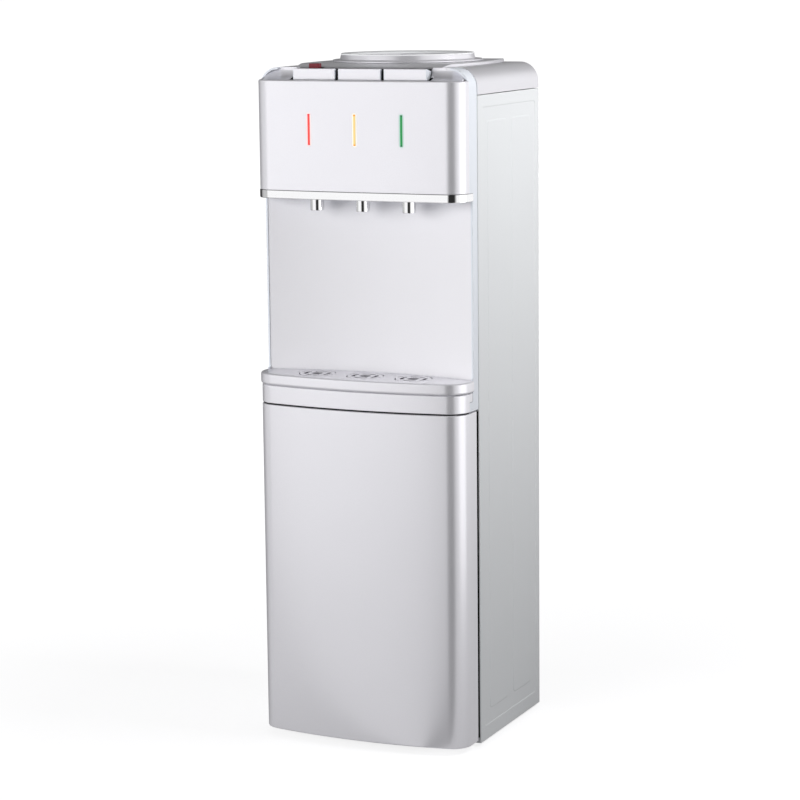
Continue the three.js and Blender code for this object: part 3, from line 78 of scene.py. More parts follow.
# Studio: a white paper floor that runs out of view, in a room whose walls are bright in front on
# the left and on the right, and dim between them. A large soft box stands to the left of the
# camera, and two small ones stand close on the right, the lower one for highlights alone.
def linear(code):
    """A colour written as sRGB hex, such as 'c8c9cd', as four linear values."""
    shares = np.array([int(code[i:i + 2], 16) for i in (0, 2, 4)]) / 255
    light = np.where(shares <= 0.04045, shares / 12.92, ((shares + 0.055) / 1.055) ** 2.4)
    return (*light.tolist(), 1.0)


def add_node(tree, kind, inputs=None, **settings):
    """Adds one node, sets its properties, and gives each input a value or a socket."""
    made = tree.nodes.new(kind)
    for key, value in settings.items():
        setattr(made, key, value)
    for key, value in (inputs or {}).items():
        if isinstance(value, bpy.types.NodeSocket):
            tree.links.new(value, made.inputs[key])
        else:
            made.inputs[key].default_value = value
    return made


def new_material(name):
    """An empty node material and its tree."""
    made = bpy.data.materials.new(name)
    made.use_nodes = True
    made.node_tree.nodes.clear()
    return made, made.node_tree


# Each bright wall as seen in gloss: its middle, counted from the machine's front toward its right,
# how far to each side it is full and where it is gone, in degrees, and its level.
bright_walls = ((-27, 21, 35, 1.08), (-62, 12, 50, 0.6), (105, 50, 68, 1.08), (178, 30, 50, 0.25))
dim_wall = 0.02


def shown(tree, path, direction, plain, gloss_share, open_share):
    """How bright the room or floor is for each kind of ray: open_share to the camera and through
    clear pieces, plain in the light it gives, and gloss_share in gloss toward the bright walls,
    with next to nothing between them. path holds the outputs of a Light Path node."""
    flat = add_node(tree, "ShaderNodeVectorMath", {0: direction, 1: (1, 1, 0)},
                    operation="MULTIPLY")
    unit = add_node(tree, "ShaderNodeVectorMath", {0: flat.outputs[0]}, operation="NORMALIZE")
    bright = None
    for middle, full, gone, level in bright_walls:
        aim = math.radians(middle)
        toward = add_node(tree, "ShaderNodeVectorMath", {0: unit.outputs[0],
                          1: (math.sin(aim), -math.cos(aim), 0)}, operation="DOT_PRODUCT")
        wall = add_node(tree, "ShaderNodeMapRange", {"Value": toward.outputs["Value"],
                        "From Min": math.cos(math.radians(gone)),
                        "From Max": math.cos(math.radians(full)),
                        "To Min": dim_wall, "To Max": level}, interpolation_type="SMOOTHSTEP")
        bright = wall if bright is None else add_node(
            tree, "ShaderNodeMath", {0: bright.outputs[0], 1: wall.outputs[0]}, operation="MAXIMUM")
    white = add_node(tree, "ShaderNodeMath", {0: bright.outputs[0], 1: gloss_share},
                     operation="MULTIPLY")
    gloss = add_node(tree, "ShaderNodeMix", {0: path["Is Glossy Ray"], 2: plain,
                     3: white.outputs[0]})
    seen = add_node(tree, "ShaderNodeMath", {0: path["Is Camera Ray"],
                    1: path["Is Transmission Ray"]}, operation="MAXIMUM")
    strength = add_node(tree, "ShaderNodeMix", {0: seen.outputs[0], 2: gloss.outputs[0],
                        3: open_share})
    return strength.outputs[0]


# The room's plain light falls from the walls' level to the ceiling's as the direction rises, and
# in gloss the bright walls fade overhead. Heights are the upward share of a direction.
wall_level, ceiling_level, ceiling_starts = 0.33, 0.2, 0.6
fade_starts, fade_ends, faded_level = 0.35, 0.7, 0.25
world = bpy.data.worlds.new("white_room")
world.use_nodes = True
world.node_tree.nodes.clear()
scene.world = world
tree = world.node_tree
path = add_node(tree, "ShaderNodeLightPath").outputs
way = add_node(tree, "ShaderNodeTexCoord").outputs["Generated"]
height = add_node(tree, "ShaderNodeSeparateXYZ", {0: way})
lit = add_node(tree, "ShaderNodeMapRange", {"Value": height.outputs["Z"],
               "From Max": ceiling_starts, "To Min": wall_level, "To Max": ceiling_level})
overhead = add_node(tree, "ShaderNodeMapRange", {"Value": height.outputs["Z"],
                    "From Min": fade_starts, "From Max": fade_ends,
                    "To Min": 1.0, "To Max": faded_level})
strength = shown(tree, path, way, lit.outputs[0], overhead.outputs[0], 1.0)
room = add_node(tree, "ShaderNodeBackground", {"Color": (1, 1, 1, 1), "Strength": strength})
add_node(tree, "ShaderNodeOutputWorld", {"Surface": room.outputs[0]})

# The paper is a little darker close to the machine, more so in gloss, and in gloss its bright
# parts are counted from a place under the door's right half. Reaches are in metres.
paper_half, wall_centre = 80.0, (0.09, -0.15, 0)
glow_near, glow_far, glow_least = 0.5, 2.2, 0.8
mirror_near, mirror_far, mirror_least = 0.1, 2.8, 0.53
paper_tone, paper_roughness, paper_shine = "9c9c9e", 0.9, 0.1
paper = bpy.data.meshes.new("floor_paper")
paper.from_pydata([(-paper_half, -paper_half, 0), (paper_half, -paper_half, 0),
                   (paper_half, paper_half, 0), (-paper_half, paper_half, 0)], [], [(0, 1, 2, 3)])
floor = bpy.data.objects.new("floor_paper", paper)
scene.collection.objects.link(floor)
floor_material, tree = new_material("white_paper")
path = add_node(tree, "ShaderNodeLightPath").outputs
place = add_node(tree, "ShaderNodeTexCoord").outputs["Object"]
reach = add_node(tree, "ShaderNodeVectorMath", {0: place}, operation="LENGTH")
glow = add_node(tree, "ShaderNodeMapRange", {"Value": reach.outputs["Value"],
                "From Min": glow_near, "From Max": glow_far, "To Min": glow_least, "To Max": 1.0})
mirrored = add_node(tree, "ShaderNodeMapRange", {"Value": reach.outputs["Value"],
                    "From Min": mirror_near, "From Max": mirror_far,
                    "To Min": mirror_least, "To Max": 1.0})
beyond = add_node(tree, "ShaderNodeVectorMath", {0: place, 1: wall_centre}, operation="SUBTRACT")
strength = shown(tree, path, beyond.outputs[0], 0.0, mirrored.outputs[0], glow.outputs[0])
tone = add_node(tree, "ShaderNodeMix", {0: path["Is Glossy Ray"], 6: linear(paper_tone),
                7: (0, 0, 0, 1)}, data_type="RGBA")
surface = add_node(tree, "ShaderNodeBsdfPrincipled", {"Base Color": tone.outputs[2],
                   "Roughness": paper_roughness, "Specular IOR Level": paper_shine,
                   "Emission Color": (1, 1, 1, 1), "Emission Strength": strength})
add_node(tree, "ShaderNodeOutputMaterial", {"Surface": surface.outputs[0]})
paper.materials.append(floor_material)


def soft_box(name, place, aim, size, watts, highlights=True, plain=True):
    """A rectangular lamp at one place that faces another, its size given as width and height, in
    metres. It may give highlights, plain light or both."""
    data = bpy.data.lights.new(name, "AREA")
    data.shape = "RECTANGLE"
    data.size, data.size_y = size
    data.energy = watts
    lamp = bpy.data.objects.new(name, data)
    lamp.visible_glossy = highlights
    lamp.visible_diffuse = plain
    direction = Vector(aim) - Vector(place)
    lamp.matrix_world = (Matrix.Translation(place)
                         @ direction.to_track_quat("-Z", "Y").to_matrix().to_4x4())
    scene.collection.objects.link(lamp)


soft_box("left_box", place=(-1.9, -3.0, 1.05), aim=(0, -0.1, 0.6), size=(3.6, 1.8), watts=117,
         highlights=False)
soft_box("right_box", place=(1.05, 0.1, 1.2), aim=(0.15, 0.1, 0.8), size=(0.5, 0.5), watts=10.2,
         highlights=False)
soft_box("right_strip", place=(1.15, -0.1, 0.45), aim=(0.15, 0, 0.45), size=(0.8, 1.1), watts=2.5,
         plain=False)

# Base: an open pan folded from galvanised steel, which carries everything, on four round rubber
# feet pushed into its floor. Sizes from here on are in millimetres from the side panels' front
# edges and the base's underside; origin holds where those stand in the frame.
origin = np.array([0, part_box("right_side_panel")[0].y / mm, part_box("base_plate")[0].z / mm])
grain_detail, relief_strength, product_middle = 3.0, 0.5, 0.5


def grained(name, pale, deep, roughness, grain, height, cloud=60, uneven=0.05, **sockets):
    """A finish whose colour wanders between two close tones and whose skin has a fine grain.
    grain and height are the width and depth of the real grain and cloud the breadth of the
    slow change in tone, in millimetres; uneven is how far the roughness wanders with it."""
    made, tree = new_material(name)
    at = add_node(tree, "ShaderNodeTexCoord").outputs["Object"]
    slow = add_node(tree, "ShaderNodeTexNoise", {"Vector": at, "Scale": 1 / (cloud * mm)})
    fine = add_node(tree, "ShaderNodeTexNoise", {"Vector": at, "Scale": 1 / (grain * mm),
                    "Detail": grain_detail})
    both = add_node(tree, "ShaderNodeMath", {0: slow.outputs[0], 1: fine.outputs[0]},
                    operation="MULTIPLY")
    share = add_node(tree, "ShaderNodeMapRange", {"Value": both.outputs[0], "From Min": 0.0,
                     "From Max": product_middle})
    tone = add_node(tree, "ShaderNodeMix", {0: share.outputs[0], 6: linear(deep),
                    7: linear(pale)}, data_type="RGBA")
    shine = add_node(tree, "ShaderNodeMapRange", {"Value": slow.outputs[0],
                     "To Min": roughness - 2 * uneven, "To Max": roughness + 2 * uneven})
    relief = add_node(tree, "ShaderNodeBump", {"Height": fine.outputs[0],
                      "Strength": relief_strength, "Distance": height * mm})
    surface = add_node(tree, "ShaderNodeBsdfPrincipled", {"Base Color": tone.outputs[2],
                       "Roughness": shine.outputs[0], "Normal": relief.outputs[0], **sockets})
    add_node(tree, "ShaderNodeOutputMaterial", {"Surface": surface.outputs[0]})
    return made


def dress(material, *names):
    """Gives a material to CAD nodes whose own shape stays."""
    for name in names:
        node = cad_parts[name]
        node.data.materials.clear()
        node.data.materials.append(material)


def arc(middle_u, middle_v, radius, start, stop, steps):
    """Points on a circle from one angle to another, in degrees."""
    angle = np.radians(np.linspace(start, stop, steps + 1))
    return np.stack([middle_u + radius * np.cos(angle), middle_v + radius * np.sin(angle)], -1)


def skin(name, grid, around=False, along=False, ends=False, crease=32):
    """A mesh over a grid of points, rows by columns, in millimetres from the side panels' front
    edge and the base's underside. around joins the last column to the first, along the last row
    to the first, and ends closes the first and last rows. Edges sharper than crease, in degrees,
    stay sharp."""
    rows, columns = grid.shape[:2]
    index = np.arange(rows * columns).reshape(rows, columns)
    wide = np.hstack([index, index[:, :1]]) if around else index
    tall = np.vstack([wide, wide[:1]]) if along else wide
    quads = np.stack([tall[:-1, :-1], tall[:-1, 1:], tall[1:, 1:], tall[1:, :-1]], -1)
    faces = quads.reshape(-1, 4).tolist()
    if ends:
        faces += [index[0, ::-1].tolist(), index[-1].tolist()]
    mesh = bpy.data.meshes.new(name)
    mesh.from_pydata(((grid.reshape(-1, 3) + origin) * mm).tolist(), [], faces)
    work = bmesh.new()
    work.from_mesh(mesh)
    bmesh.ops.remove_doubles(work, verts=work.verts, dist=0.001 * mm)
    if around or along or ends:
        bmesh.ops.recalc_face_normals(work, faces=work.faces)
    work.to_mesh(mesh)
    work.free()
    mesh.shade_smooth()
    mesh.set_sharp_from_angle(angle=math.radians(crease))
    made = bpy.data.objects.new(name, mesh)
    scene.collection.objects.link(made)
    return made


def turned(name, profile, x, y, sides=72, loop=True):
    """A profile of (radius, height) points turned about an upright axis at (x, y)."""
    angle = np.linspace(0, 2 * np.pi, sides, endpoint=False)
    radius, height = np.asarray(profile, float).T
    grid = np.stack([x + np.outer(radius, np.cos(angle)), y + np.outer(radius, np.sin(angle)),
                     np.outer(height, np.ones(sides))], -1)
    return skin(name, grid, around=True, along=loop)


def eased(corners, radius, steps=4, guard=0.3):
    """A closed line of corners with each one rounded off. A quadratic curve starts and ends the
    radius away from the corner, or at 0.4 of a short side, and a guard point on each side of it
    keeps the flats flat when they are shaded."""
    line = np.asarray(corners, float)
    radii = np.broadcast_to(radius, len(line))
    share = np.linspace(0, 1, steps + 1)[:, None]
    made = []
    for i, at in enumerate(line):
        if radii[i] == 0:
            made.append(at[None])
            continue
        back, on = line[i - 1] - at, line[(i + 1) % len(line)] - at
        far_back, far_on = np.linalg.norm(back), np.linalg.norm(on)
        reach = min(radii[i], 0.4 * far_back, 0.4 * far_on)
        start, stop = at + back / far_back * reach, at + on / far_on * reach
        bend = (1 - share) ** 2 * start + 2 * share * (1 - share) * at + share ** 2 * stop
        step = min(guard, 0.2 * reach + 0.01)
        made.append(np.vstack([start + back / far_back * step, bend, stop + on / far_on * step]))
    return np.vstack(made)


def ride(piece, material, body="cabinet"):
    """Gives a new piece its material, and hangs it on a body of the frame."""
    piece.data.materials.clear()
    piece.data.materials.append(material)
    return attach(piece, body)


# Hot-dip zinc on steel: a dull grey metal with small cloudy spangles
zinc_steel = grained("galvanised_steel", "a4a8aa", "8d9193", 0.42, 1.5, 0.01, cloud=8,
                     Metallic=0.9)
dress(zinc_steel, "base_plate")

# Moulded rubber: nearly black and quite matt, with a coarse skin
black_rubber = grained("moulded_rubber", "1e1e1f", "141415", 0.8, 1.2, 0.03)
body_half, panel_depth = 152, 218
foot_radius, foot_seat, foot_inset, foot_drop, foot_gap = 13, 10, 34, 5, 0.3
foot_profile = eased([(0, -foot_drop), (foot_seat, -foot_drop), (foot_radius, -foot_drop / 2),
                      (foot_radius, -foot_gap), (0, -foot_gap)], [0, 0.8, 0.8, 0.5, 0])
for place, y in (("front", foot_inset), ("rear", panel_depth - foot_inset)):
    for side, x in (("left", foot_inset - body_half), ("right", body_half - foot_inset)):
        piece = turned(f"rubber_foot_{place}_{side}", foot_profile, x, y, sides=40)
        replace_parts(ride(piece, black_rubber), f"foot_{place}_{side}")


# Side panels: folded steel sheet with a powder coat, screwed to the base and the back panel. A
# wide field is pressed in by half a millimetre and two fields inside it stand level with the
# border.
def stations(low, high, edges, near=3.0, fine=0.5, coarse=9.0):
    """Places from low to high, a coarse step apart and a fine one on each side of every edge."""
    dense = [np.arange(edge - near, edge + near + fine / 2, fine) for edge in edges]
    plain = np.linspace(low, high, int((high - low) / coarse) + 2)
    every = np.unique(np.round(np.concatenate([plain, *dense]), 3))
    return every[(every >= low) & (every <= high)]


def inside_field(u, v, low_u, high_u, low_v, high_v, corner, slope):
    """1 inside a rectangle with round corners and 0 outside. The distance from its outline gives
    a share of the slope, t, that is smoothed as 3t^2 - 2t^3."""
    out_u = np.abs(u - (low_u + high_u) / 2) - (high_u - low_u) / 2 + corner
    out_v = np.abs(v - (low_v + high_v) / 2) - (high_v - low_v) / 2 + corner
    beyond = np.hypot(np.maximum(out_u, 0), np.maximum(out_v, 0))
    distance = beyond + np.minimum(np.maximum(out_u, out_v), 0) - corner
    share = np.clip(0.5 - distance / slope, 0, 1)
    return share * share * (3 - 2 * share)


def walled(piece, thickness):
    """Gives an open sheet its thickness, inwards from the face that shows."""
    wall = piece.modifiers.new("sheet", "SOLIDIFY")
    wall.thickness = thickness * mm
    wall.offset = -1
    return piece


# Powder coat: a pale cool grey with a soft sheen and a fine orange-peel skin
painted_steel = grained("powder_coated_steel", "e3e5e7", "dfe1e3", 0.42, 1.6, 0.02, cloud=90)
panel_height = 869
sheet, flange, fold, fold_steps, sheet_crease = 1.2, 12, 1.6, 6, 60
press_depth, press_corner, press_slope = 0.5, 6, 1.4
press_y, press_z = (14, 204), (20, 853)
raised_y, raised_z = ((34, 99), (119, 184)), (40, 834.5)
run_y = stations(fold, panel_depth - fold, [*press_y, *raised_y[0], *raised_y[1]])
plan = np.vstack([
    [(body_half - flange, 0)],
    arc(body_half - fold, fold, fold, -90, 0, fold_steps),
    np.stack([np.full(len(run_y) - 2, body_half), run_y[1:-1]], -1),
    arc(body_half - fold, panel_depth - fold, fold, 0, 90, fold_steps),
    [(body_half - flange, panel_depth)],
])
run_z = stations(0, panel_height, [0, *press_z, *raised_z, panel_height])
y, z = np.meshgrid(plan[:, 1], run_z, indexing="ij")
sunk = inside_field(y, z, *press_y, *press_z, press_corner, press_slope)
for low_y, high_y in raised_y:
    sunk = sunk - inside_field(y, z, low_y, high_y, *raised_z, press_corner, press_slope)
x = plan[:, :1] - press_depth * sunk
for name, side in (("right", 1), ("left", -1)):
    grid = np.stack([side * x, y, z], -1)
    piece = skin(f"pressed_panel_{name}", grid[:, ::-1] if side > 0 else grid, crease=sheet_crease)
    piece = walled(piece, sheet)
    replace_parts(ride(piece, painted_steel), f"{name}_side_panel")

# Back panel: flat powder-coated sheet between the rear folds. Fourteen hoods pressed out of it
# cover its louvre slots, and a row of zinc-plated screws holds each edge.
dress(painted_steel, "back_panel")


def joined(name, pieces):
    """Several meshes as one object; the separate ones are thrown away."""
    work = bmesh.new()
    for piece in pieces:
        work.from_mesh(piece.data)
        bpy.data.objects.remove(piece)
    mesh = bpy.data.meshes.new(name)
    work.to_mesh(mesh)
    work.free()
    made = bpy.data.objects.new(name, mesh)
    scene.collection.objects.link(made)
    return made


# A hood is a quarter ellipse that leaves the sheet at its top and stands out most at its open
# foot; toward its two ends the reach falls off as a quarter circle.
hood_half, hood_lap, hood_tall, hood_reach, hood_wall, hood_sink = 43, 1, 8, 4.5, 0.8, 0.3
hood_end_share, hood_across, hood_down, hood_crease = 0.12, 40, 8, 50
louvre_rows, louvre_pitch, louvre_bottom, louvre_x = 7, 14, 700, 62
back_face = 216.5
across_hood = np.linspace(-1, 1, hood_across + 1)
angle = np.radians(np.linspace(0, 90, hood_down + 1))[:, None]
bow = np.clip((1 - np.abs(across_hood)) / hood_end_share, 0, 1)
bow = np.sqrt(1 - (1 - bow) ** 2)
reach = hood_reach * bow * np.sin(angle)
hoods = []
for row in range(louvre_rows):
    for side in (-1, 1):
        low = louvre_bottom + row * louvre_pitch - hood_lap
        high = low + hood_tall * np.cos(angle) * np.ones_like(bow)
        wide = side * louvre_x + hood_half * across_hood * np.ones_like(high)
        outer = np.stack([wide, back_face + reach, high], -1)
        inner = outer - np.array([0, hood_wall, 0.0])
        inner[..., 1] = np.maximum(inner[..., 1], back_face - hood_sink)
        grid = np.concatenate([outer, inner[::-1]], 0)
        hoods.append(skin(f"hood_{row}_{side}", grid, along=True, crease=hood_crease))
louvres = joined("louvre_hoods", hoods)
ride(louvres, painted_steel)

screw_x, screw_head, screw_rise, screw_sink = 145.5, 3.2, 1.4, 0.4
screw_rows, screw_steps, screw_sides = (30, 230, 430, 640, 850), 5, 20
share = np.radians(np.linspace(0, 90, screw_steps + 1))
radius = np.concatenate([[screw_head], screw_head * np.cos(share)])
rise = np.concatenate([[-screw_sink], screw_rise * np.sin(share)])
angle = np.linspace(0, 2 * np.pi, screw_sides, endpoint=False)
screws = []
for z in screw_rows:
    for x in (-screw_x, screw_x):
        grid = np.stack([x + np.outer(radius, np.cos(angle)),
                         np.outer(panel_depth + rise, np.ones(screw_sides)),
                         z + np.outer(radius, np.sin(angle))], -1)
        screws.append(skin(f"screw_{z}_{x}", grid, around=True, ends=True))
screws = joined("panel_screws", screws)
ride(screws, zinc_steel)

# Works inside the cabinet: drawn steel tanks in moulded foam, silicone tubes, the compressor in
# its black paint with copper pipes, and the folded zinc sheets and moulded parts that carry them.

# Drawn stainless steel is a soft grey mirror; foam is chalky white with open cells; silicone is
# milky and a little yellow; copper is warm and dull where it was drawn; stoved paint is near
# black with a low sheen; the board's lacquer is a deep glossy green; polystyrene is a plain soft
# white.
stainless = grained("drawn_stainless_steel", "b9bcbe", "aaadaf", 0.3, 0.8, 0.01, Metallic=1.0)
foam = grained("moulded_foam", "f2f2ee", "e4e4de", 0.9, 3.0, 0.3)
silicone = grained("silicone_tube", "e6e3d9", "dad7cc", 0.55, 2.0, 0.02)
copper = grained("drawn_copper", "b8754e", "a3633f", 0.35, 1.0, 0.01, Metallic=1.0)
black_steel = grained("stoved_black_paint", "202123", "17181a", 0.5, 1.5, 0.03)
board_green = grained("board_lacquer", "1f6b3a", "185a30", 0.4, 2.0, 0.02)
white_plastic = grained("white_polystyrene", "e9e8ec", "e5e4e8", 0.45, 1.5, 0.015)
dress(stainless, "cold_tank", "hot_tank")
dress(foam, "tank_insulation")
dress(silicone, "hot_tube", "room_tube", "cold_tube")
dress(copper, "suction_pipe", "discharge_pipe")
dress(black_steel, "compressor")
dress(zinc_steel, "tank_shelf", "hot_tank_bracket", "control_box", "key_carrier", "key_shaft")
dress(board_green, "indicator_board")
dress(white_plastic, "hot_plunger", "room_plunger", "cold_plunger", "cabinet_liner",
      "drain_pipe")


# Front frame: one ABS moulding screwed to the side panels' front folds, an arch three millimetres
# thick round the head whose legs run down both sides of the alcove. Its front steps back behind
# each piece that it carries.

# Moulded ABS: a cool blue-white with a soft sheen and a fine spark-eroded skin
pale_plastic = grained("moulded_abs", "e6eaf1", "e2e6ed", 0.38, 1.4, 0.012)
face_half, arch_wall, shoulder_top, shoulder_radius, shoulder_steps = 151, 3, 905, 26, 16
shoulder_foot = shoulder_top - shoulder_radius
crown_half, crown_front, frame_rear = face_half - shoulder_radius, -20, -0.3
tongue_half, tongue_drop = 118, 3.6
frame_foot, pan_ledge, tray_head, strip_foot, strip_head = 457.4, 470, 500.5, 732.7, 744
foot_front, pan_front, alcove_front, strip_front, arch_front = -29, -18.7, -16, -14.7, -26
inner_half, inner_radius = face_half - arch_wall, shoulder_radius - arch_wall
leg = [(frame_foot, foot_front), (pan_ledge, foot_front), (pan_ledge, pan_front),
       (tray_head, pan_front), (tray_head, alcove_front), (strip_foot, alcove_front),
       (strip_foot, strip_front), (strip_head, strip_front), (strip_head, arch_front),
       (shoulder_foot, arch_front)]
crown = [(crown_half, shoulder_top), (tongue_half, shoulder_top),
         (tongue_half, shoulder_top - tongue_drop)]
# Each row of a run holds the outer x and z, the inner x and z, and the front's y
right_run = np.array([
    *[(face_half, z, inner_half, z, y) for z, y in leg],
    *[(crown_half + shoulder_radius * across, shoulder_foot + shoulder_radius * upward,
       crown_half + inner_radius * across, shoulder_foot + inner_radius * upward, arch_front)
      for across, upward in arc(0, 0, 1, 0, 90, shoulder_steps)[1:]],
    *[(x, z, x, z - arch_wall, crown_front) for x, z in crown]])
left_run = right_run[::-1] * (-1, 1, -1, 1, 1)
run = np.vstack([right_run, left_run])
edge, soft = 0.6, 0.12
section = [(0, None), (0, edge), (soft, soft), (edge, 0), (arch_wall - edge, 0),
           (arch_wall - soft, soft), (arch_wall, edge), (arch_wall, None)]
columns = []
for depth, behind in section:
    share = depth / arch_wall
    x = run[:, 0] + (run[:, 2] - run[:, 0]) * share
    z = run[:, 1] + (run[:, 3] - run[:, 1]) * share
    y = np.full(len(run), frame_rear) if behind is None else run[:, 4] + behind
    columns.append(np.stack([x, y, z], -1))
piece = skin("arch_frame", np.stack(columns, 1), around=True, ends=True)
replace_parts(ride(piece, pale_plastic), "front_frame")


# Top cover: one ABS moulding sprayed silver and screwed down on the panels. A shell with round
# shoulders carries a raised deck with bowed sides; in front of the deck an apron curves down to
# the head and round the keys.
def drawn_in(outline, distance):
    """A closed outline moved inwards, each corner along the line that halves it."""
    line = np.asarray(outline, float)
    following = np.roll(line, -1, 0)
    area = np.sum(line[:, 0] * following[:, 1] - line[:, 1] * following[:, 0])
    after = following - line
    after /= np.linalg.norm(after, axis=1)[:, None]
    inward = np.stack([-after[:, 1], after[:, 0]], -1) * np.sign(area)
    before = np.roll(inward, 1, 0)
    lean = (before + inward) / (1 + np.sum(before * inward, 1))[:, None]
    return line + distance * lean


def stacked(name, outline, levels, axis="z"):
    """A closed outline set level over level along an axis and closed at both ends. Each level
    is (height, inset); outline is the points or a function that gives them for an inset."""
    rings = []
    for height, inset in levels:
        ring = outline(inset) if callable(outline) else drawn_in(outline, inset)
        level = np.full(len(ring), float(height))
        u, v = ring.T
        points = {"z": (u, v, level), "y": (u, level, v), "x": (level, u, v)}[axis]
        rings.append(np.stack(points, -1))
    return skin(name, np.array(rings), around=True, ends=True)


def levels(start, stop, first=0.0, last=0.0, steps=5, guard=0.25):
    """Levels from start to stop. Each end may be rounded off by a quarter circle, of radius first
    or last, with a guard level on each side of it."""
    def rounded(at, radius, way):
        angle = np.radians(np.linspace(0, 90, steps + 1))
        return [(at, radius + guard), *[(at + way * radius * (1 - math.cos(a)),
                radius * (1 - math.sin(a))) for a in angle], (at + way * (radius + guard), 0)]
    return ((rounded(start, first, 1) if first else [(start, 0)])
            + (rounded(stop, last, -1)[::-1] if last else [(stop, 0)]))


def plain(start, stop):
    """Two levels with sharp ends."""
    return [(start, 0), (stop, 0)]


def box(name, x0, x1, y0, y1, z0, z1):
    """A plain block, used only to cut with."""
    return stacked(name, np.array([(x0, y0), (x1, y0), (x1, y1), (x0, y1)], float), plain(z0, z1))


def carve(piece, tool, how="DIFFERENCE", crease=32):
    """Cuts the tool out of the piece, or keeps what both share, and throws the tool away."""
    step = piece.modifiers.new("carve", "BOOLEAN")
    step.operation = how
    step.solver = "EXACT"
    step.object = tool
    bpy.context.view_layer.update()
    shaped = bpy.data.meshes.new_from_object(
        piece.evaluated_get(bpy.context.evaluated_depsgraph_get()))
    piece.modifiers.clear()
    piece.data = shaped
    bpy.data.objects.remove(tool)
    shaped.shade_smooth()
    shaped.set_sharp_from_angle(angle=math.radians(crease))
    return piece


def arch(half, foot, top, radius, guard=0.3, steps=18):
    """Front view of an arch: upright legs from the foot and two round shoulders."""
    return np.vstack([
        [(-half, foot), (half, foot), (half, top - radius - guard)],
        arc(half - radius, top - radius, radius, 0, 90, steps),
        [(half - radius - guard, top), (radius - half + guard, top)],
        arc(radius - half, top - radius, radius, 90, 180, steps),
        [(-half, top - radius - guard)],
    ])


# Silver lacquer: fine metal flakes in a clear coat, so pale and half mirror-like, with broad soft
# reflections and hardly any grain
silver_paint = grained("silver_lacquer", "e9e8ed", "e4e3e8", 0.28, 1.3, 0.006, cloud=160,
                       uneven=0.008, Metallic=0.5)
wall, overrun = 2.5, 1
cover_foot, deck_top, tank_y, rear_edge = 870.0, 909, 119, 2.0
shell = stacked("shell", lambda inset: arch(body_half - inset, cover_foot, shoulder_top - inset,
                shoulder_radius - inset), levels(0, panel_depth, 0, rear_edge), axis="y")
hollow = stacked("hollow", arch(body_half - wall, cover_foot - overrun, shoulder_top - wall,
                 shoulder_radius - wall), plain(-overrun, panel_depth - wall), axis="y")
carve(shell, hollow)
deck_front, deck_half, deck_taper, deck_widest, deck_edge, deck_stations = -20, 116, 15, 95, 1.6, 61
run_y = np.linspace(deck_front, panel_depth, deck_stations)
edge_x = deck_half - deck_taper * ((run_y - deck_widest) / (panel_depth - deck_widest)) ** 2
deck_plan = np.vstack([np.stack([edge_x, run_y], -1), np.stack([-edge_x, run_y], -1)[::-1]])
deck = stacked("deck", deck_plan, levels(shoulder_top - wall, deck_top, 0, deck_edge))

# The deck's front slopes down to the keys, and its tongue reaches forward over the frame
slope_low, slope_high, slope_half, above = (-25, 902.3), (17, 909.05), 130, 915
slope_side = np.array([slope_low, slope_high, (slope_high[0], above), (slope_low[0], above)])
carve(deck, stacked("slope", slope_side, plain(-slope_half, slope_half), axis="x"))
tongue_front, tongue_rear, tongue_low, tongue_reach, tongue_edge = -20.9, 2.5, 901.7, 117.7, 0.4
tongue = stacked("tongue", np.array([(tongue_front, tongue_low), (tongue_rear, tongue_low),
                 (tongue_rear, shoulder_top), (tongue_front, shoulder_top)]),
                 levels(-tongue_reach, tongue_reach, tongue_edge, tongue_edge), axis="x")
slot_half, slot_front, slot_rear, slot_low, slot_high = 98.3, -37.4, -20, 744, 910
notch_half, notch_rear, tongue_cut = 102, -26, 899
carve(tongue, box("key_rear", -slot_half, slot_half, slope_low[0], slot_rear, tongue_cut,
                  slot_high))
carve(tongue, stacked("slope", slope_side, plain(-slot_half, slot_half), axis="x"))

# The apron: a hollow quarter curve from the head's top edge up to the crown
scoop_front, scoop_rear, scoop_rise, scoop_steps = -39.7, -20.3, 16, 18
apron_wall, apron_half, head_top = 1.8, 148, 889
sweep = np.radians(np.linspace(0, 90, scoop_steps + 1))
hollow_curve = np.stack([scoop_front + (scoop_rear - scoop_front) * np.sin(sweep),
                         head_top + scoop_rise * (1 - np.cos(sweep))], -1)
under_curve = (hollow_curve + (apron_wall, -apron_wall))[::-1]
under_curve = under_curve[under_curve[:, 0] < scoop_rear]
apron_side = np.vstack([hollow_curve, [(scoop_rear, under_curve[0, 1])], under_curve])
apron = stacked("apron", apron_side, plain(-apron_half, apron_half), axis="x")
within_half, within_radius, within_top, seam = 147.7, 22.7, 905.5, 0.3
within_front, within_rear = -60, -10
beside = crown_half - seam
within = stacked("within", np.vstack([
    [(-within_half, strip_head), (within_half, strip_head)],
    arc(crown_half, shoulder_foot, within_radius, 0, 89, scoop_steps),
    [(beside, tongue_low), (beside, within_top)], [(-beside, within_top), (-beside, tongue_low)],
    arc(-crown_half, shoulder_foot, within_radius, 91, 180, scoop_steps),
]), plain(within_front, within_rear), axis="y")
carve(apron, within, "INTERSECT")

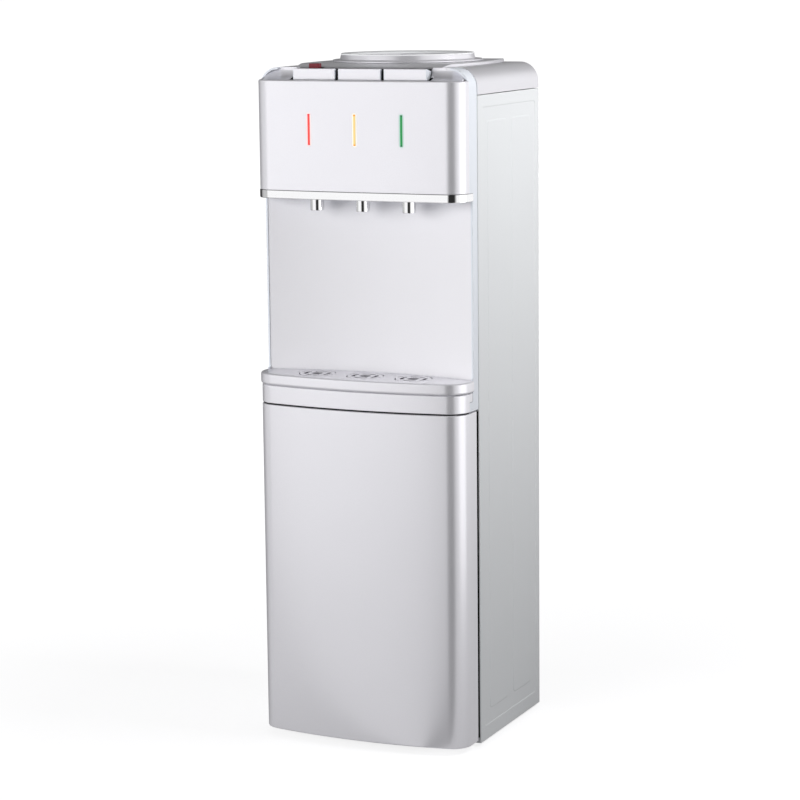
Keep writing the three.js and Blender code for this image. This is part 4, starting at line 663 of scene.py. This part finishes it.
# One slot takes all the keys and widens low down at its front; another takes the child lock, and
# the bottle's hole goes through shell and deck
carve(apron, box("key_slot", -slot_half, slot_half, slot_front, slot_rear, slot_low, slot_high))
carve(apron, box("key_notch", -notch_half, notch_half, slot_front, notch_rear, slot_low, slot_high))
bottle_bore, bore_low, bore_high, bore_sides = 83.9, 890, 912, 128
bore_profile = [(0, bore_low), (bottle_bore, bore_low), (bottle_bore, bore_high), (0, bore_high)]
for solid in (shell, deck):
    carve(solid, turned("bottle_hole", bore_profile, 0, tank_y, sides=bore_sides, loop=False))
lock_slot = (-84.3, -62.8, -17.6, -7.6, 895, 908)
for solid in (deck, tongue):
    carve(solid, box("lock_slot", *lock_slot))
piece = joined("top_cover_moulding", [shell, deck, tongue, apron])
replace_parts(ride(piece, silver_paint), "top_cover")

# Keys: three ABS bars between the apron and the deck, sprayed silver but for their ends, each
# with a bevelled front edge and an arm that runs back under the deck to its pivot. The ends are
# pale plastic, a painted highlight where the end faces catch the light.
key_width, key_pitch, key_edge, key_end, key_corner, key_seam = 61.5, 65.8, 0.5, 1.2, 0.7, 0.02
key_side = eased([(-36, 889.3), (-20.8, 889.3), (-20.8, 900.8), (-35.5, 904), (-36, 903.5)],
                 key_edge, steps=3)
arm_side, arm_half = np.array([(-22, 890), (12, 890), (12, 896), (-22, 896)], float), 22
for name, side in (("hot", -1), ("room", 0), ("cold", 1)):
    x = side * key_pitch
    low, high = x - key_width / 2, x + key_width / 2
    bar = stacked(f"{name}_bar", key_side, plain(low + key_end, high - key_end), axis="x")
    ends = [stacked(f"{name}_end_{i}", key_side, steps, axis="x") for i, steps in enumerate((
            levels(low, low + key_end - key_seam, key_corner, 0),
            levels(high - key_end + key_seam, high, 0, key_corner)))]
    # The pale ends are a painted highlight on the end faces
    ride(joined(f"{name}_key_ends", ends), pale_plastic, f"{name}_key")
    arm = stacked(f"{name}_arm", arm_side, plain(x - arm_half, x + arm_half), axis="x")
    piece = joined(f"{name}_key_bar", [bar, arm])
    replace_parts(ride(piece, silver_paint, f"{name}_key"), f"{name}_key")

# Key comb: painted shade, a black moulding clipped on the key carrier. Its upright fins, a little
# behind the keys' fronts, paint the shade in the gaps between them black; the two end fins are low
# and slanted, and a thin black lip paints the shadow line in the seam behind the keys.

# Matt black for painted shade: swallows nearly all light, so a shaded gap reads as a clean dark
# line
shade_black = grained("matt_black_painted_shade", "0a0a0b", "070708", 0.9, 1.0, 0.02,
                     **{"Specular IOR Level": 0.1})
fin_thick, fin_edge, fin_round = 2.6, 0.2, 0.5
fin_front, fin_rear, fin_low, fin_high = -33.2, -21.1, 889.4, 903.2
fin_side = eased([(fin_front, fin_low), (fin_rear, fin_low), (fin_rear, fin_high),
                  (fin_front, fin_high)], fin_round, steps=2)
end_fin, end_front, end_rear, end_high, end_round = 100, -34.5, -24.5, 893.5, 0.3
low_side = eased([(end_front, fin_low), (end_rear, fin_low), (end_rear, end_high)], end_round,
                 steps=2)
fins = [stacked(f"fin_{x}", side, levels(x - fin_thick / 2, x + fin_thick / 2, fin_edge, fin_edge,
                steps=2), axis="x")
        for x, side in ((-end_fin, low_side), (-key_pitch / 2, fin_side),
                        (key_pitch / 2, fin_side), (end_fin, low_side))]
lip_front, lip_rear, lip_low, lip_high, lip_half = -20.65, -20.1, 899, 903.3, 96.4
lip_side = eased([(lip_front, lip_low), (lip_rear, lip_low), (lip_rear, lip_high),
                  (lip_front, lip_high)], fin_edge, steps=2)
fins.append(stacked("painted_shade_lip", lip_side, plain(-lip_half, lip_half), axis="x"))
ride(joined("painted_shade_comb", fins), shade_black)

# Child lock: a small slider of dark red acetal that runs in a slot across the deck's front slope,
# moulded with three finger ribs across its top and a stem that holds it below.

# Dyed acetal: a deep brownish red with a waxy sheen
lock_red = grained("dyed_acetal", "7a1f2c", "661722", 0.42, 1.2, 0.02)
lock_left, lock_right, lock_round, lock_edge = -81, -66, 0.6, 0.5
slider_side = eased([(-19.6, 903.4), (-12.1, 904.6), (-12.1, 909.8), (-19.6, 909.8)], lock_round)
slider = stacked("slider", slider_side, levels(lock_left, lock_right, lock_edge, lock_edge),
                 axis="x")
rib_foot, rib_head, rib_low, rib_high = 0.5, 0.4, 909, 909.95
rib_inset, rib_round, rib_edge = 2, 0.25, 0.3
ribs = []
for i, y in enumerate((-17.4, -15.9, -14.4)):
    rib_side = eased([(y - rib_foot, rib_low), (y + rib_foot, rib_low), (y + rib_head, rib_high),
                      (y - rib_head, rib_high)], rib_round)
    ribs.append(stacked(f"rib_{i}", rib_side, levels(lock_left + rib_inset, lock_right - rib_inset,
                        rib_edge, rib_edge), axis="x"))
stem_left, stem_right = -76, -71
stem_side = np.array([(-17, 897.5), (-13, 897.5), (-13, 906.5), (-17, 906.5)])
stem = stacked("stem", stem_side, plain(stem_left, stem_right), axis="x")
piece = joined("lock_slider", [slider, stem, *ribs])
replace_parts(ride(piece, lock_red, "child_lock"), "child_lock")


# Head panel: a bowed ABS shell sprayed silver and clipped into the front frame. It has a soft upper
# edge, a roof that is open under the apron, and three upright slots for the light bars.
def bowed(half, front, bow_radius, corner, rear, inset=0.0, bow_steps=60, corner_steps=18,
          guard=0.2):
    """Plan outline of a bowed front: a bow of large radius across the front, an arc tangent to
    it at each corner, and straight sides back to the rear, all drawn in by the inset."""
    side, face = half - inset, front + inset
    big, small = bow_radius - inset, corner - inset
    middle = face + big
    corner_y = middle - math.sqrt((big - small) ** 2 - (side - small) ** 2)
    swing = math.degrees(math.atan2(side - small, middle - corner_y))
    cut_off = math.degrees(math.asin(max(0, (corner_y - rear + 2 * guard) / small)))
    edge = np.vstack([
        arc(small - side, corner_y, small, 180 + cut_off, 270 - swing, corner_steps),
        arc(0, middle, big, 270 - swing, 270 + swing, bow_steps)[1:-1],
        arc(side - small, corner_y, small, 270 + swing, 360 - cut_off, corner_steps),
    ])
    return np.vstack([[(-side, rear), (-side, rear - guard)], edge,
                      [(side, rear - guard), (side, rear)]])


def stadium(x, z, half, tall, steps=10):
    """Front view of an upright slot with round ends."""
    return np.vstack([arc(x, z + tall / 2 - half, half, 0, 180, steps),
                      arc(x, z - tall / 2 + half, half, 180, 360, steps)])


head = dict(half=face_half, front=-53, bow_radius=2400, corner=26)
head_rear, head_open, head_bottom, head_wall, head_edge = -26.3, -20, 744.3, 2.6, 1.8
roof_half, roof_front, cut_front, cut_rear = 145.7, -38, -60, -48
light_x, light_z, light_tall, light_hole_half, light_play = 66.7, 825, 44, 3.4, 0.2
piece = stacked("head_shell", lambda inset: bowed(**head, rear=head_rear, inset=inset),
                levels(head_bottom, head_top, 0, head_edge, steps=8))
carve(piece, stacked("inside", bowed(**head, rear=head_open, inset=head_wall),
                     plain(head_bottom - overrun, head_top - head_wall)))
carve(piece, box("roof_hole", -roof_half, roof_half, roof_front, head_open,
                 head_top - head_wall - overrun, head_top + overrun))
slots = []
for side in (-1, 0, 1):
    outline = stadium(side * light_x, light_z, light_hole_half, light_tall + light_play)
    slots.append(stacked(f"slot_{side}", outline, plain(cut_front, cut_rear), axis="y"))
carve(piece, joined("slots", slots))
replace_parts(ride(piece, silver_paint), "head_panel")

# Light bars: three dyed acrylic bars lit from behind, each moulded into a frosted rim and pushed
# into its slot up to a brim behind the head's wall.

# Dyed acrylic: deep in colour and softly lit, its two ends in another tone and its rim pale
lamp_tones = {"hot": ("lamp_red", "ee4440", "d8202c", "f5dcda"),
              "power": ("lamp_yellow", "ebcb82", "e8a020", "f2ede4"),
              "cold": ("lamp_green", "078a42", "04663a", "b2cfc5")}
acrylic_roughness, acrylic_ior, acrylic_glow = 0.3, 1.49, 0.25
end_dot, dot_blend, rim_blend, rim_ends = 19, 1, 0.3, 1.6
bar_half, bar_shorter, bar_proud, bar_edge, bar_rear = 1.5, 3.4, 0.25, 0.3, -47
rim_half, rim_sunk, rim_edge, rim_rear = 3.3, 0.05, 0.2, -45.1
brim_wider, brim_taller, brim_behind = 0.5, 2.4, (3.2, 5.2)
for (name, (slot_name, tone, end_tone, rim_tone)), side in zip(lamp_tones.items(), (-1, 0, 1)):
    lamp, tree = new_material(f"dyed_acrylic_{name}")
    at = add_node(tree, "ShaderNodeTexCoord")
    centred = add_node(tree, "ShaderNodeMapping", {"Vector": at.outputs["Object"],
                       "Location": (-side * light_x * mm, 0, -(light_z + origin[2]) * mm)})
    height = add_node(tree, "ShaderNodeSeparateXYZ", {0: centred.outputs[0]})
    away = add_node(tree, "ShaderNodeMath", {0: height.outputs["Z"]}, operation="ABSOLUTE")
    beside = add_node(tree, "ShaderNodeMath", {0: height.outputs["X"]}, operation="ABSOLUTE")
    ends = add_node(tree, "ShaderNodeMapRange", {"Value": away.outputs[0],
                    "From Min": (end_dot - dot_blend) * mm, "From Max": end_dot * mm})
    outside = add_node(tree, "ShaderNodeMapRange", {"Value": beside.outputs[0],
                       "From Min": bar_half * mm, "From Max": (bar_half + rim_blend) * mm})
    core = add_node(tree, "ShaderNodeMix", {0: ends.outputs[0], 6: linear(tone),
                    7: linear(end_tone)}, data_type="RGBA")
    beyond = add_node(tree, "ShaderNodeMath", {0: away.outputs[0],
                      1: (light_tall / 2 - rim_ends) * mm}, operation="GREATER_THAN")
    frosted = add_node(tree, "ShaderNodeMath", {0: outside.outputs[0], 1: beyond.outputs[0]},
                       operation="MAXIMUM")
    shade = add_node(tree, "ShaderNodeMix", {0: frosted.outputs[0], 6: core.outputs[2],
                     7: linear(rim_tone)}, data_type="RGBA")
    surface = add_node(tree, "ShaderNodeBsdfPrincipled", {
        "Base Color": shade.outputs[2], "Roughness": acrylic_roughness, "IOR": acrylic_ior,
        "Emission Color": shade.outputs[2], "Emission Strength": acrylic_glow})
    add_node(tree, "ShaderNodeOutputMaterial", {"Surface": surface.outputs[0]})
    x = side * light_x
    front = head["front"] + head["bow_radius"] - math.sqrt(head["bow_radius"] ** 2 - x ** 2)
    lens_bar = stacked("lens", stadium(x, light_z, bar_half, light_tall - bar_shorter),
                       levels(front - bar_proud, bar_rear, bar_edge, 0), axis="y")
    frost = stacked("frost", stadium(x, light_z, rim_half, light_tall),
                    levels(front + rim_sunk, rim_rear, rim_edge, 0), axis="y")
    brim = stacked("brim", stadium(x, light_z, rim_half + brim_wider, light_tall + brim_taller),
                   [(front + behind, 0) for behind in brim_behind], axis="y")
    piece = joined(f"light_bar_{name}", [lens_bar, frost, brim])
    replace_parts(ride(piece, lamp), f"{name}_light")


# Chrome strip and taps: an ABS band snapped on under the head, and three turned brass taps with
# stubs that run back to the water tubes, all plated. The plate that holds the taps is bare ABS.
def circle(u, v, radius, sides):
    """Points round a whole circle."""
    return arc(u, v, radius, 0, 360 - 360 / sides, sides - 1)


# Chrome plate: a neutral mirror, hardly darker than what it reflects
chrome = grained("chrome_plate", "f0f0f1", "ececed", 0.07, 2.0, 0.002, uneven=0.02, Metallic=1.0)
strip = dict(half=151.6, front=-53.6, bow_radius=2400, corner=26.6)
strip_low, strip_edge, strip_wall, strip_rear, strip_open, strip_clear = 733, 1.0, 3, -15, -10, 3
piece = stacked("strip_band", lambda inset: bowed(**strip, rear=strip_rear, inset=inset),
                levels(strip_low, strip_head, strip_edge, strip_edge, steps=6))
carve(piece, stacked("inside", bowed(**strip, rear=strip_open, inset=strip_wall),
                     plain(strip_low - strip_clear, strip_head + strip_clear)))
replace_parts(ride(piece, chrome), "chrome_strip")
dress(pale_plastic, "tap_plate")
tap_x, tap_y, tap_sides = 66.7, -30, 64
stub_z, stub_radius, stub_front, stub_rear, stub_sides = 752, 5, -22, -4, 24
tap_profile = eased([(6.8, 717.1), (9.4, 717.1), (9.4, 733), (8, 733), (8, 736.6), (13, 736.6),
                     (13, 796), (7, 796), (7, 805), (3.1, 805), (3.1, 726.5), (6.8, 726.5)],
                    [0.4, 0.9, 0.3, 0, 0, 0.5, 2, 0.5, 0.5, 0.3, 0, 0.5])
for name, side in (("hot", -1), ("room", 0), ("cold", 1)):
    body = turned("body", tap_profile, side * tap_x, tap_y, sides=tap_sides)
    stub = stacked("stub", circle(side * tap_x, stub_z, stub_radius, stub_sides),
                   plain(stub_front, stub_rear), axis="y")
    piece = joined(f"tap_{name}", [body, stub])
    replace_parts(ride(piece, chrome), f"{name}_tap")

# Alcove panel: a white ABS sheet curved away from the taps, its foot in the tray housing and its
# top edge against the tap plate.
alcove_bow, alcove_middle, alcove_half, alcove_foot, alcove_steps = 530, -524, 147.7, 460.2, 60
swing = math.degrees(math.asin(alcove_half / alcove_bow))
alcove_plan = np.vstack([
    arc(0, alcove_middle, alcove_bow, 90 + swing, 90 - swing, alcove_steps),
    arc(0, alcove_middle, alcove_bow + wall, 90 - swing, 90 + swing, alcove_steps)])
# ABS sheet: white with a soft even sheen
alcove_white = grained("white_abs_sheet", "eeedf1", "eae9ed", 0.45, 1.5, 0.01, cloud=150)
piece = stacked("alcove_sheet", alcove_plan, plain(alcove_foot, strip_foot))
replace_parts(ride(piece, alcove_white), "alcove_panel")

# Tray housing: an ABS pan sprayed silver, held by the frame's legs between the door and the drip
# tray. A cheek on each side fills the step in front of the frame's leg.
housing = dict(half=face_half, front=-67.5, bow_radius=720, corner=28)
pan_step, pan_narrow, pan_behind, pan_rear = -29.3, 147.7, 139.7, 12
pan_top, pan_wall, pan_foot_edge, pan_top_edge, pan_clear = 482.2, 3.5, 1.0, 2.4, 484
cheek_inner, cheek_front, cheek_rear, cheek_low = 146.5, -29.6, -19.4, 470.4
cheek_round, cheek_foot_edge, cheek_top_edge = [0, 0.2, 0.6, 0], 0.4, 1.6


def housing_plan(inset):
    """The bowed front, then a narrower part between the frame's legs and one behind them."""
    front = bowed(**housing, rear=pan_step - inset, inset=inset)
    right_side = [(pan_narrow - inset, pan_step - inset), (pan_narrow - inset, frame_rear - inset),
                  (pan_behind - inset, frame_rear - inset), (pan_behind - inset, pan_rear - inset)]
    return np.vstack([front, right_side, [(-x, y) for x, y in right_side[::-1]]])


pan = stacked("tray_pan", housing_plan, levels(frame_foot, pan_top, pan_foot_edge, pan_top_edge))
carve(pan, stacked("inside", housing_plan(pan_wall), plain(frame_foot + wall, pan_clear)))
cheeks = []
for side in (-1, 1):
    cheek_plan = eased([(side * cheek_inner, cheek_front), (side * face_half, cheek_front),
                        (side * face_half, cheek_rear), (side * cheek_inner, cheek_rear)],
                       cheek_round, steps=3)
    cheeks.append(stacked(f"cheek_{side}", cheek_plan,
                          levels(cheek_low, pan_top, cheek_foot_edge, cheek_top_edge)))
piece = joined("tray_housing_pan", [pan, *cheeks])
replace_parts(ride(piece, silver_paint), "tray_housing")

# Drip tray and grille: two ABS mouldings sprayed silver. The tray rests on the housing with its
# basin inside, and the grille lies in a recess of its rim. The tray's rear follows the alcove, and
# under each tap the grille has a ring of slots and fine lines round a drain hole.
tray = dict(half=153, front=-70, bow_radius=720, corner=32)
tray_step, tray_narrow, tray_gap, tray_steps = -19.3, 147.4, 0.5, 48
tray_bottom, tray_top, tray_edge, tray_fall = 482.5, 498, 3.0, 3.2
lip, recess_floor = 5, 495.5
basin_inset, basin_rear, basin_low, basin_high, basin_clear = 8.5, -14, 466, 485, 500
keep_half, keep_front, keep_low, keep_high = 200, -100, 450, 520


def tray_plan(inset, rear_inset=None):
    """The bowed front and sides, a step in behind the frame's legs, and a rear that follows the
    alcove; the rear is drawn in by its own inset."""
    rear_in = inset if rear_inset is None else rear_inset
    front = bowed(**tray, rear=tray_step - rear_in, inset=inset)
    half = tray_narrow - rear_in
    radius = alcove_bow - tray_gap - rear_in
    reach = math.degrees(math.asin(half / radius))
    rear = arc(0, alcove_middle, radius, 90 - reach, 90 + reach, tray_steps)
    return np.vstack([front, [(half, tray_step - rear_in)], rear, [(-half, tray_step - rear_in)]])


def basin_block(drawn, low, high):
    """The basin's outline drawn in, from one level to another, and cut off before the rear."""
    block = stacked("basin", tray_plan(basin_inset + drawn), plain(low, high))
    front_part = box("front_part", -keep_half, keep_half, keep_front, basin_rear - drawn,
                     keep_low, keep_high)
    return carve(block, front_part, "INTERSECT")


rim = stacked("rim", lambda inset: tray_plan(inset, 0),
              levels(tray_bottom, tray_top, tray_fall, tray_edge, steps=8))
carve(rim, stacked("recess", tray_plan(lip), plain(recess_floor, tray_top + overrun)))
basin = basin_block(0, basin_low, basin_high)
for solid in (rim, basin):
    carve(solid, basin_block(wall, basin_low + wall, basin_clear))
piece = joined("drip_tray_moulding", [rim, basin])
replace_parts(ride(piece, silver_paint, "drip_tray"), "drip_tray")

grille_gap, grille_low, grille_top, grille_edge = 0.3, 495.8, 497.8, 0.4
border, under_low, under_high = 4, 495, 497
drain_pitch, drain_y, drain_radius, drain_sides = 70.5, -29.5, 8, 36
drain_low, drain_high, slot_steps = 494, 499, 14
slot_ring, slot_width, slot_reach = 16, 5, 35
line_ring, line_width, line_start, line_stop = 24.5, 1.6, 8.6, 81.4


def arc_slot(name, x, radius, width, start, stop):
    """A curved slot round a drain."""
    outline = np.vstack([arc(x, drain_y, radius + width / 2, start, stop, slot_steps),
                         arc(x, drain_y, radius - width / 2, stop, start, slot_steps)])
    return stacked(name, outline, plain(drain_low, drain_high))


piece = stacked("grille_plate", lambda inset: tray_plan(lip + grille_gap + inset),
                levels(grille_low, grille_top, 0, grille_edge, steps=3))
carve(piece, stacked("underside", tray_plan(lip + border), plain(under_low, under_high)))
tools = []
for side in (-1, 0, 1):
    x = side * drain_pitch
    tools.append(stacked("centre", circle(x, drain_y, drain_radius, drain_sides),
                         plain(drain_low, drain_high)))
    for at in (0, 90, 180, 270):
        tools.append(arc_slot("slot", x, slot_ring, slot_width, at - slot_reach, at + slot_reach))
        tools.append(arc_slot("line", x, line_ring, line_width, at + line_start, at + line_stop))
carve(piece, joined("drains", tools))
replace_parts(ride(piece, silver_paint, "drip_grille"), "drip_grille")

# Door: a bowed ABS shell sprayed silver over a white vacuum-formed liner, hung on two steel pins
# and held shut by a magnet.
door = dict(half=face_half, front=-68, bow_radius=720, corner=28)
door_bottom, door_top, door_edge, door_rear, door_open = 4.7, 455.6, 1.5, -7, -4
piece = stacked("door_skin", lambda inset: bowed(**door, rear=door_rear, inset=inset),
                levels(door_bottom, door_top, door_edge, door_edge, steps=6))
carve(piece, stacked("inside", bowed(**door, rear=door_open, inset=wall),
                     plain(door_bottom + wall, door_top - wall)))
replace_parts(ride(piece, silver_paint, "door"), "door_shell")

liner_half, liner_low, liner_high, liner_depth = 148.2, 7.5, 452.8, 6
side_border, end_border, field_corner, field_slope, field_near = 28, 36, 14, 6, 5
field_x = (side_border - liner_half, liner_half - side_border)
field_z = (liner_low + end_border, liner_high - end_border)
run_x = stations(-liner_half, liner_half, [-liner_half, *field_x, liner_half], near=field_near)
run_z = stations(liner_low, liner_high, [liner_low, *field_z, liner_high], near=field_near)
x, z = np.meshgrid(run_x, run_z, indexing="ij")
sunk = inside_field(x, z, *field_x, *field_z, field_corner, field_slope)
grid = np.stack([x, door_rear - liner_depth * sunk, z], -1)
piece = walled(skin("door_liner_sheet", grid[::-1], crease=sheet_crease), wall)
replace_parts(ride(piece, white_plastic, "door"), "door_liner")
dress(zinc_steel, "upper_hinge_pin", "lower_hinge_bracket")

# Door buffers: painted shade, strips of black foam rubber stuck on the side panels' front folds
# and along the underside of the tray housing, where the door closes. They are in the same matt
# black as the key comb, so that the shade in the door's gaps reads as dark lines too.
buffer_inner, buffer_outer, buffer_thick, buffer_seat = 140.8, 150.4, 1.2, 0.05
buffer_low, buffer_short = 8, 1
pieces = []
for side in (-1, 1):
    inner, outer = side * buffer_inner, side * buffer_outer
    buffer_plan = np.array([(inner, -buffer_thick), (outer, -buffer_thick),
                            (outer, -buffer_seat), (inner, -buffer_seat)])
    pieces.append(stacked(f"side_buffer_{side}", buffer_plan,
                          plain(buffer_low, door_top - buffer_short)))
top_buffer = dict(half=149.6, front=-66.2, bow_radius=720, corner=27)
band_rear, band_open, band_width, band_gap, band_top = -30, -28, 6, 0.25, 457.35
band_cut_low, band_cut_high = 450, 460
band = stacked("top_buffer", bowed(**top_buffer, rear=band_rear),
               plain(door_top + band_gap, band_top))
carve(band, stacked("inside", bowed(**top_buffer, rear=band_open, inset=band_width),
                    plain(band_cut_low, band_cut_high)))
ride(joined("painted_shade_buffers", [*pieces, band]), shade_black)
dress(black_rubber, "door_magnet")

# Bottle seat: an ABS collar sprayed silver that drops into the deck's hole, a polypropylene ring
# let into its top, and inside it an ABS water guard, a funnel with a well and a hollow spike that
# opens the bottle. Profiles are (radius, height).
collar_sides, guard_sides = 144, 128
collar_profile = eased([
    (80, 895.7), (83.6, 895.7), (83.6, 909.3), (101.7, 909.3), (101.7, 911.0), (100.9, 911.6),
    (92.8, 911.6), (91.8, 912.4), (90.4, 918.2), (78, 918.2), (74.5, 915.5), (74.5, 912),
    (70, 912), (70, 909.5), (76, 906), (80, 902.7)],
    [0.6, 0.4, 0.3, 0.3, 0.5, 0.6, 0.5, 0.8, 0.2, 0.3, 0.5, 0.8, 0.6, 0.6, 2, 2], steps=5)
piece = turned("collar_ring", collar_profile, 0, tank_y, sides=collar_sides)
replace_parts(ride(piece, silver_paint, "bottle_collar"), "bottle_collar")
seat_profile = eased([
    (78.5, 918.25), (90.6, 918.25), (90.6, 920), (88.6, 920), (78.5, 919.2), (74.8, 915.6),
    (75.4, 915.2)], [0.2, 0.2, 0.7, 0.5, 2, 0.3, 0.3], steps=5)
piece = turned("collar_seat", seat_profile, 0, tank_y, sides=collar_sides)
# White polypropylene: the brightest plastic here, smooth and a little glossier than the rest
seat_white = grained("white_polypropylene", "f6f7f9", "f2f3f5", 0.35, 1.5, 0.01)
ride(piece, seat_white, "bottle_collar")
guard_profile = eased([
    (0, 836), (32, 836), (32, 892), (69.4, 912.3), (73.7, 912.3), (73.7, 914.3), (71, 914.3),
    (33, 894.5), (30, 891), (30, 838.5), (8, 838.5), (7, 870.5), (4, 878.5), (0, 880.5)],
    [0, 2, 3, 0.8, 0.6, 0.6, 1.2, 2.5, 1, 1, 1.5, 2, 1.5, 0], steps=4)
piece = turned("guard_funnel", guard_profile, 0, tank_y, sides=guard_sides, loop=False)
well_holes, well_ring, well_radius, well_sides, well_low, well_high = 6, 20, 3, 24, 834, 840
holes = []
for i in range(well_holes):
    angle = 2 * math.pi * i / well_holes
    outline = circle(well_ring * math.cos(angle), tank_y + well_ring * math.sin(angle),
                     well_radius, well_sides)
    holes.append(stacked(f"hole_{i}", outline, plain(well_low, well_high)))
carve(piece, joined("holes", holes))
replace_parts(ride(piece, pale_plastic, "water_guard"), "water_guard")


# Condenser: one steel pipe bent to and fro between two straps that hold it off the back panel,
# with a row of thin steel wires welded on each side of it, all stoved black.
def tube(name, line, radius, sides=12, flat=(0, 1, 0)):
    """A round bar along a line of points that all lie in one plane; flat is that plane's normal."""
    line = np.asarray(line, float)
    ahead = np.gradient(line, axis=0)
    ahead /= np.linalg.norm(ahead, axis=1)[:, None]
    out = np.array(flat, float)[None, :] * np.ones_like(line)
    beside = np.cross(ahead, out)
    angle = np.linspace(0, 2 * np.pi, sides, endpoint=False)
    ring = (np.cos(angle)[None, :, None] * out[:, None, :]
            + np.sin(angle)[None, :, None] * beside[:, None, :])
    return skin(name, line[:, None, :] + radius * ring, around=True, ends=True, crease=50)


coil_half, coil_y, coil_bottom, coil_pitch, coil_passes, coil_radius = 115, 237, 90, 38.9, 10, 2.4
bend_radius, bend_steps = coil_pitch / 2, 16
route = [np.array([(-coil_half, coil_bottom)])]
for i in range(coil_passes):
    side = 1 if i % 2 == 0 else -1
    z = coil_bottom + i * coil_pitch
    middle_x = side * (coil_half - bend_radius)
    if i < coil_passes - 1:
        start, stop = (-90, 90) if side > 0 else (270, 90)
        route.append(arc(middle_x, z + bend_radius, bend_radius, start, stop, bend_steps))
    else:
        route.append(np.array([(side * coil_half, z)]))
route = np.vstack(route)
line = np.stack([route[:, 0], np.full(len(route), coil_y), route[:, 1]], -1)
pieces = [tube("coil", line, coil_radius)]

strap_x, strap_half, strap_thick, strap_edge = 95, 4, 3.2, 0.4
strap_rear, strap_front, strap_low, strap_high = 242, 216.8, 80, 450.1
strap_side = eased([
    (strap_front, strap_low), (strap_rear, strap_low), (strap_rear, strap_high),
    (strap_front, strap_high), (strap_front, strap_high - strap_thick),
    (strap_rear - strap_thick, strap_high - strap_thick),
    (strap_rear - strap_thick, strap_low + strap_thick), (strap_front, strap_low + strap_thick),
], [0.5, 3, 3, 0.5, 0.5, 1.5, 1.5, 0.5], steps=3)
for x in (-strap_x, strap_x):
    pieces.append(stacked("strap", strap_side, levels(x - strap_half, x + strap_half, strap_edge,
                          strap_edge, steps=2), axis="x"))

wire_radius, wire_pitch, wire_low, wire_high, wires_each, weld = 0.7, 6.4, 84, 446, 36, 0.1
for place in (-1, 1):
    y = coil_y + place * (coil_radius + wire_radius - weld)
    for x in (np.arange(wires_each) - (wires_each - 1) / 2) * wire_pitch:
        if place > 0 and abs(abs(x) - strap_x) < strap_half + wire_radius:
            continue
        run = np.array([(x, y, wire_low), (x, y, wire_high)])
        pieces.append(tube("wire", run, wire_radius, sides=6))
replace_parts(ride(joined("condenser_coil", pieces), black_steel), "condenser")

# Rear services: two polyamide rocker switches clipped into the back panel, the rubber gland of the
# cord, and the drain's silicone plug under a ribbed screw cap of polystyrene.

# Black polyamide: a deep grey-black with a low moulded sheen
black_plastic = grained("black_polyamide", "1b1b1d", "131315", 0.45, 1.2, 0.02)
dress(black_plastic, "hot_switch", "cold_switch")
dress(black_rubber, "cord_gland")
dress(silicone, "drain_plug")
cap_z, cap_radius, cap_bore, cap_ribs, rib_deep, bore_steps = 478, 11, 8.7, 30, 0.5, 72
cap_front, cap_rear, cap_floor, cap_front_edge, cap_rear_edge = 219, 234.5, 231, 0.4, 1.6
round_cap = np.linspace(0, 2 * np.pi, 6 * cap_ribs, endpoint=False)


def ribbed(inset):
    """The cap's outline: a circle, drawn in by the inset, whose radius dips between its ribs by
    half their depth times one minus a cosine."""
    radius = cap_radius - inset - rib_deep / 2 * (1 - np.cos(cap_ribs * round_cap))
    return np.stack([radius * np.cos(round_cap), cap_z + radius * np.sin(round_cap)], -1)


cap = stacked("cap", ribbed, levels(cap_front, cap_rear, cap_front_edge, cap_rear_edge), axis="y")
carve(cap, stacked("bore", circle(0, cap_z, cap_bore, bore_steps),
                   plain(cap_front - overrun, cap_floor), axis="y"))
cap.name = "ribbed_drain_cap"
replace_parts(ride(cap, white_plastic, "drain_cap"), "drain_cap")
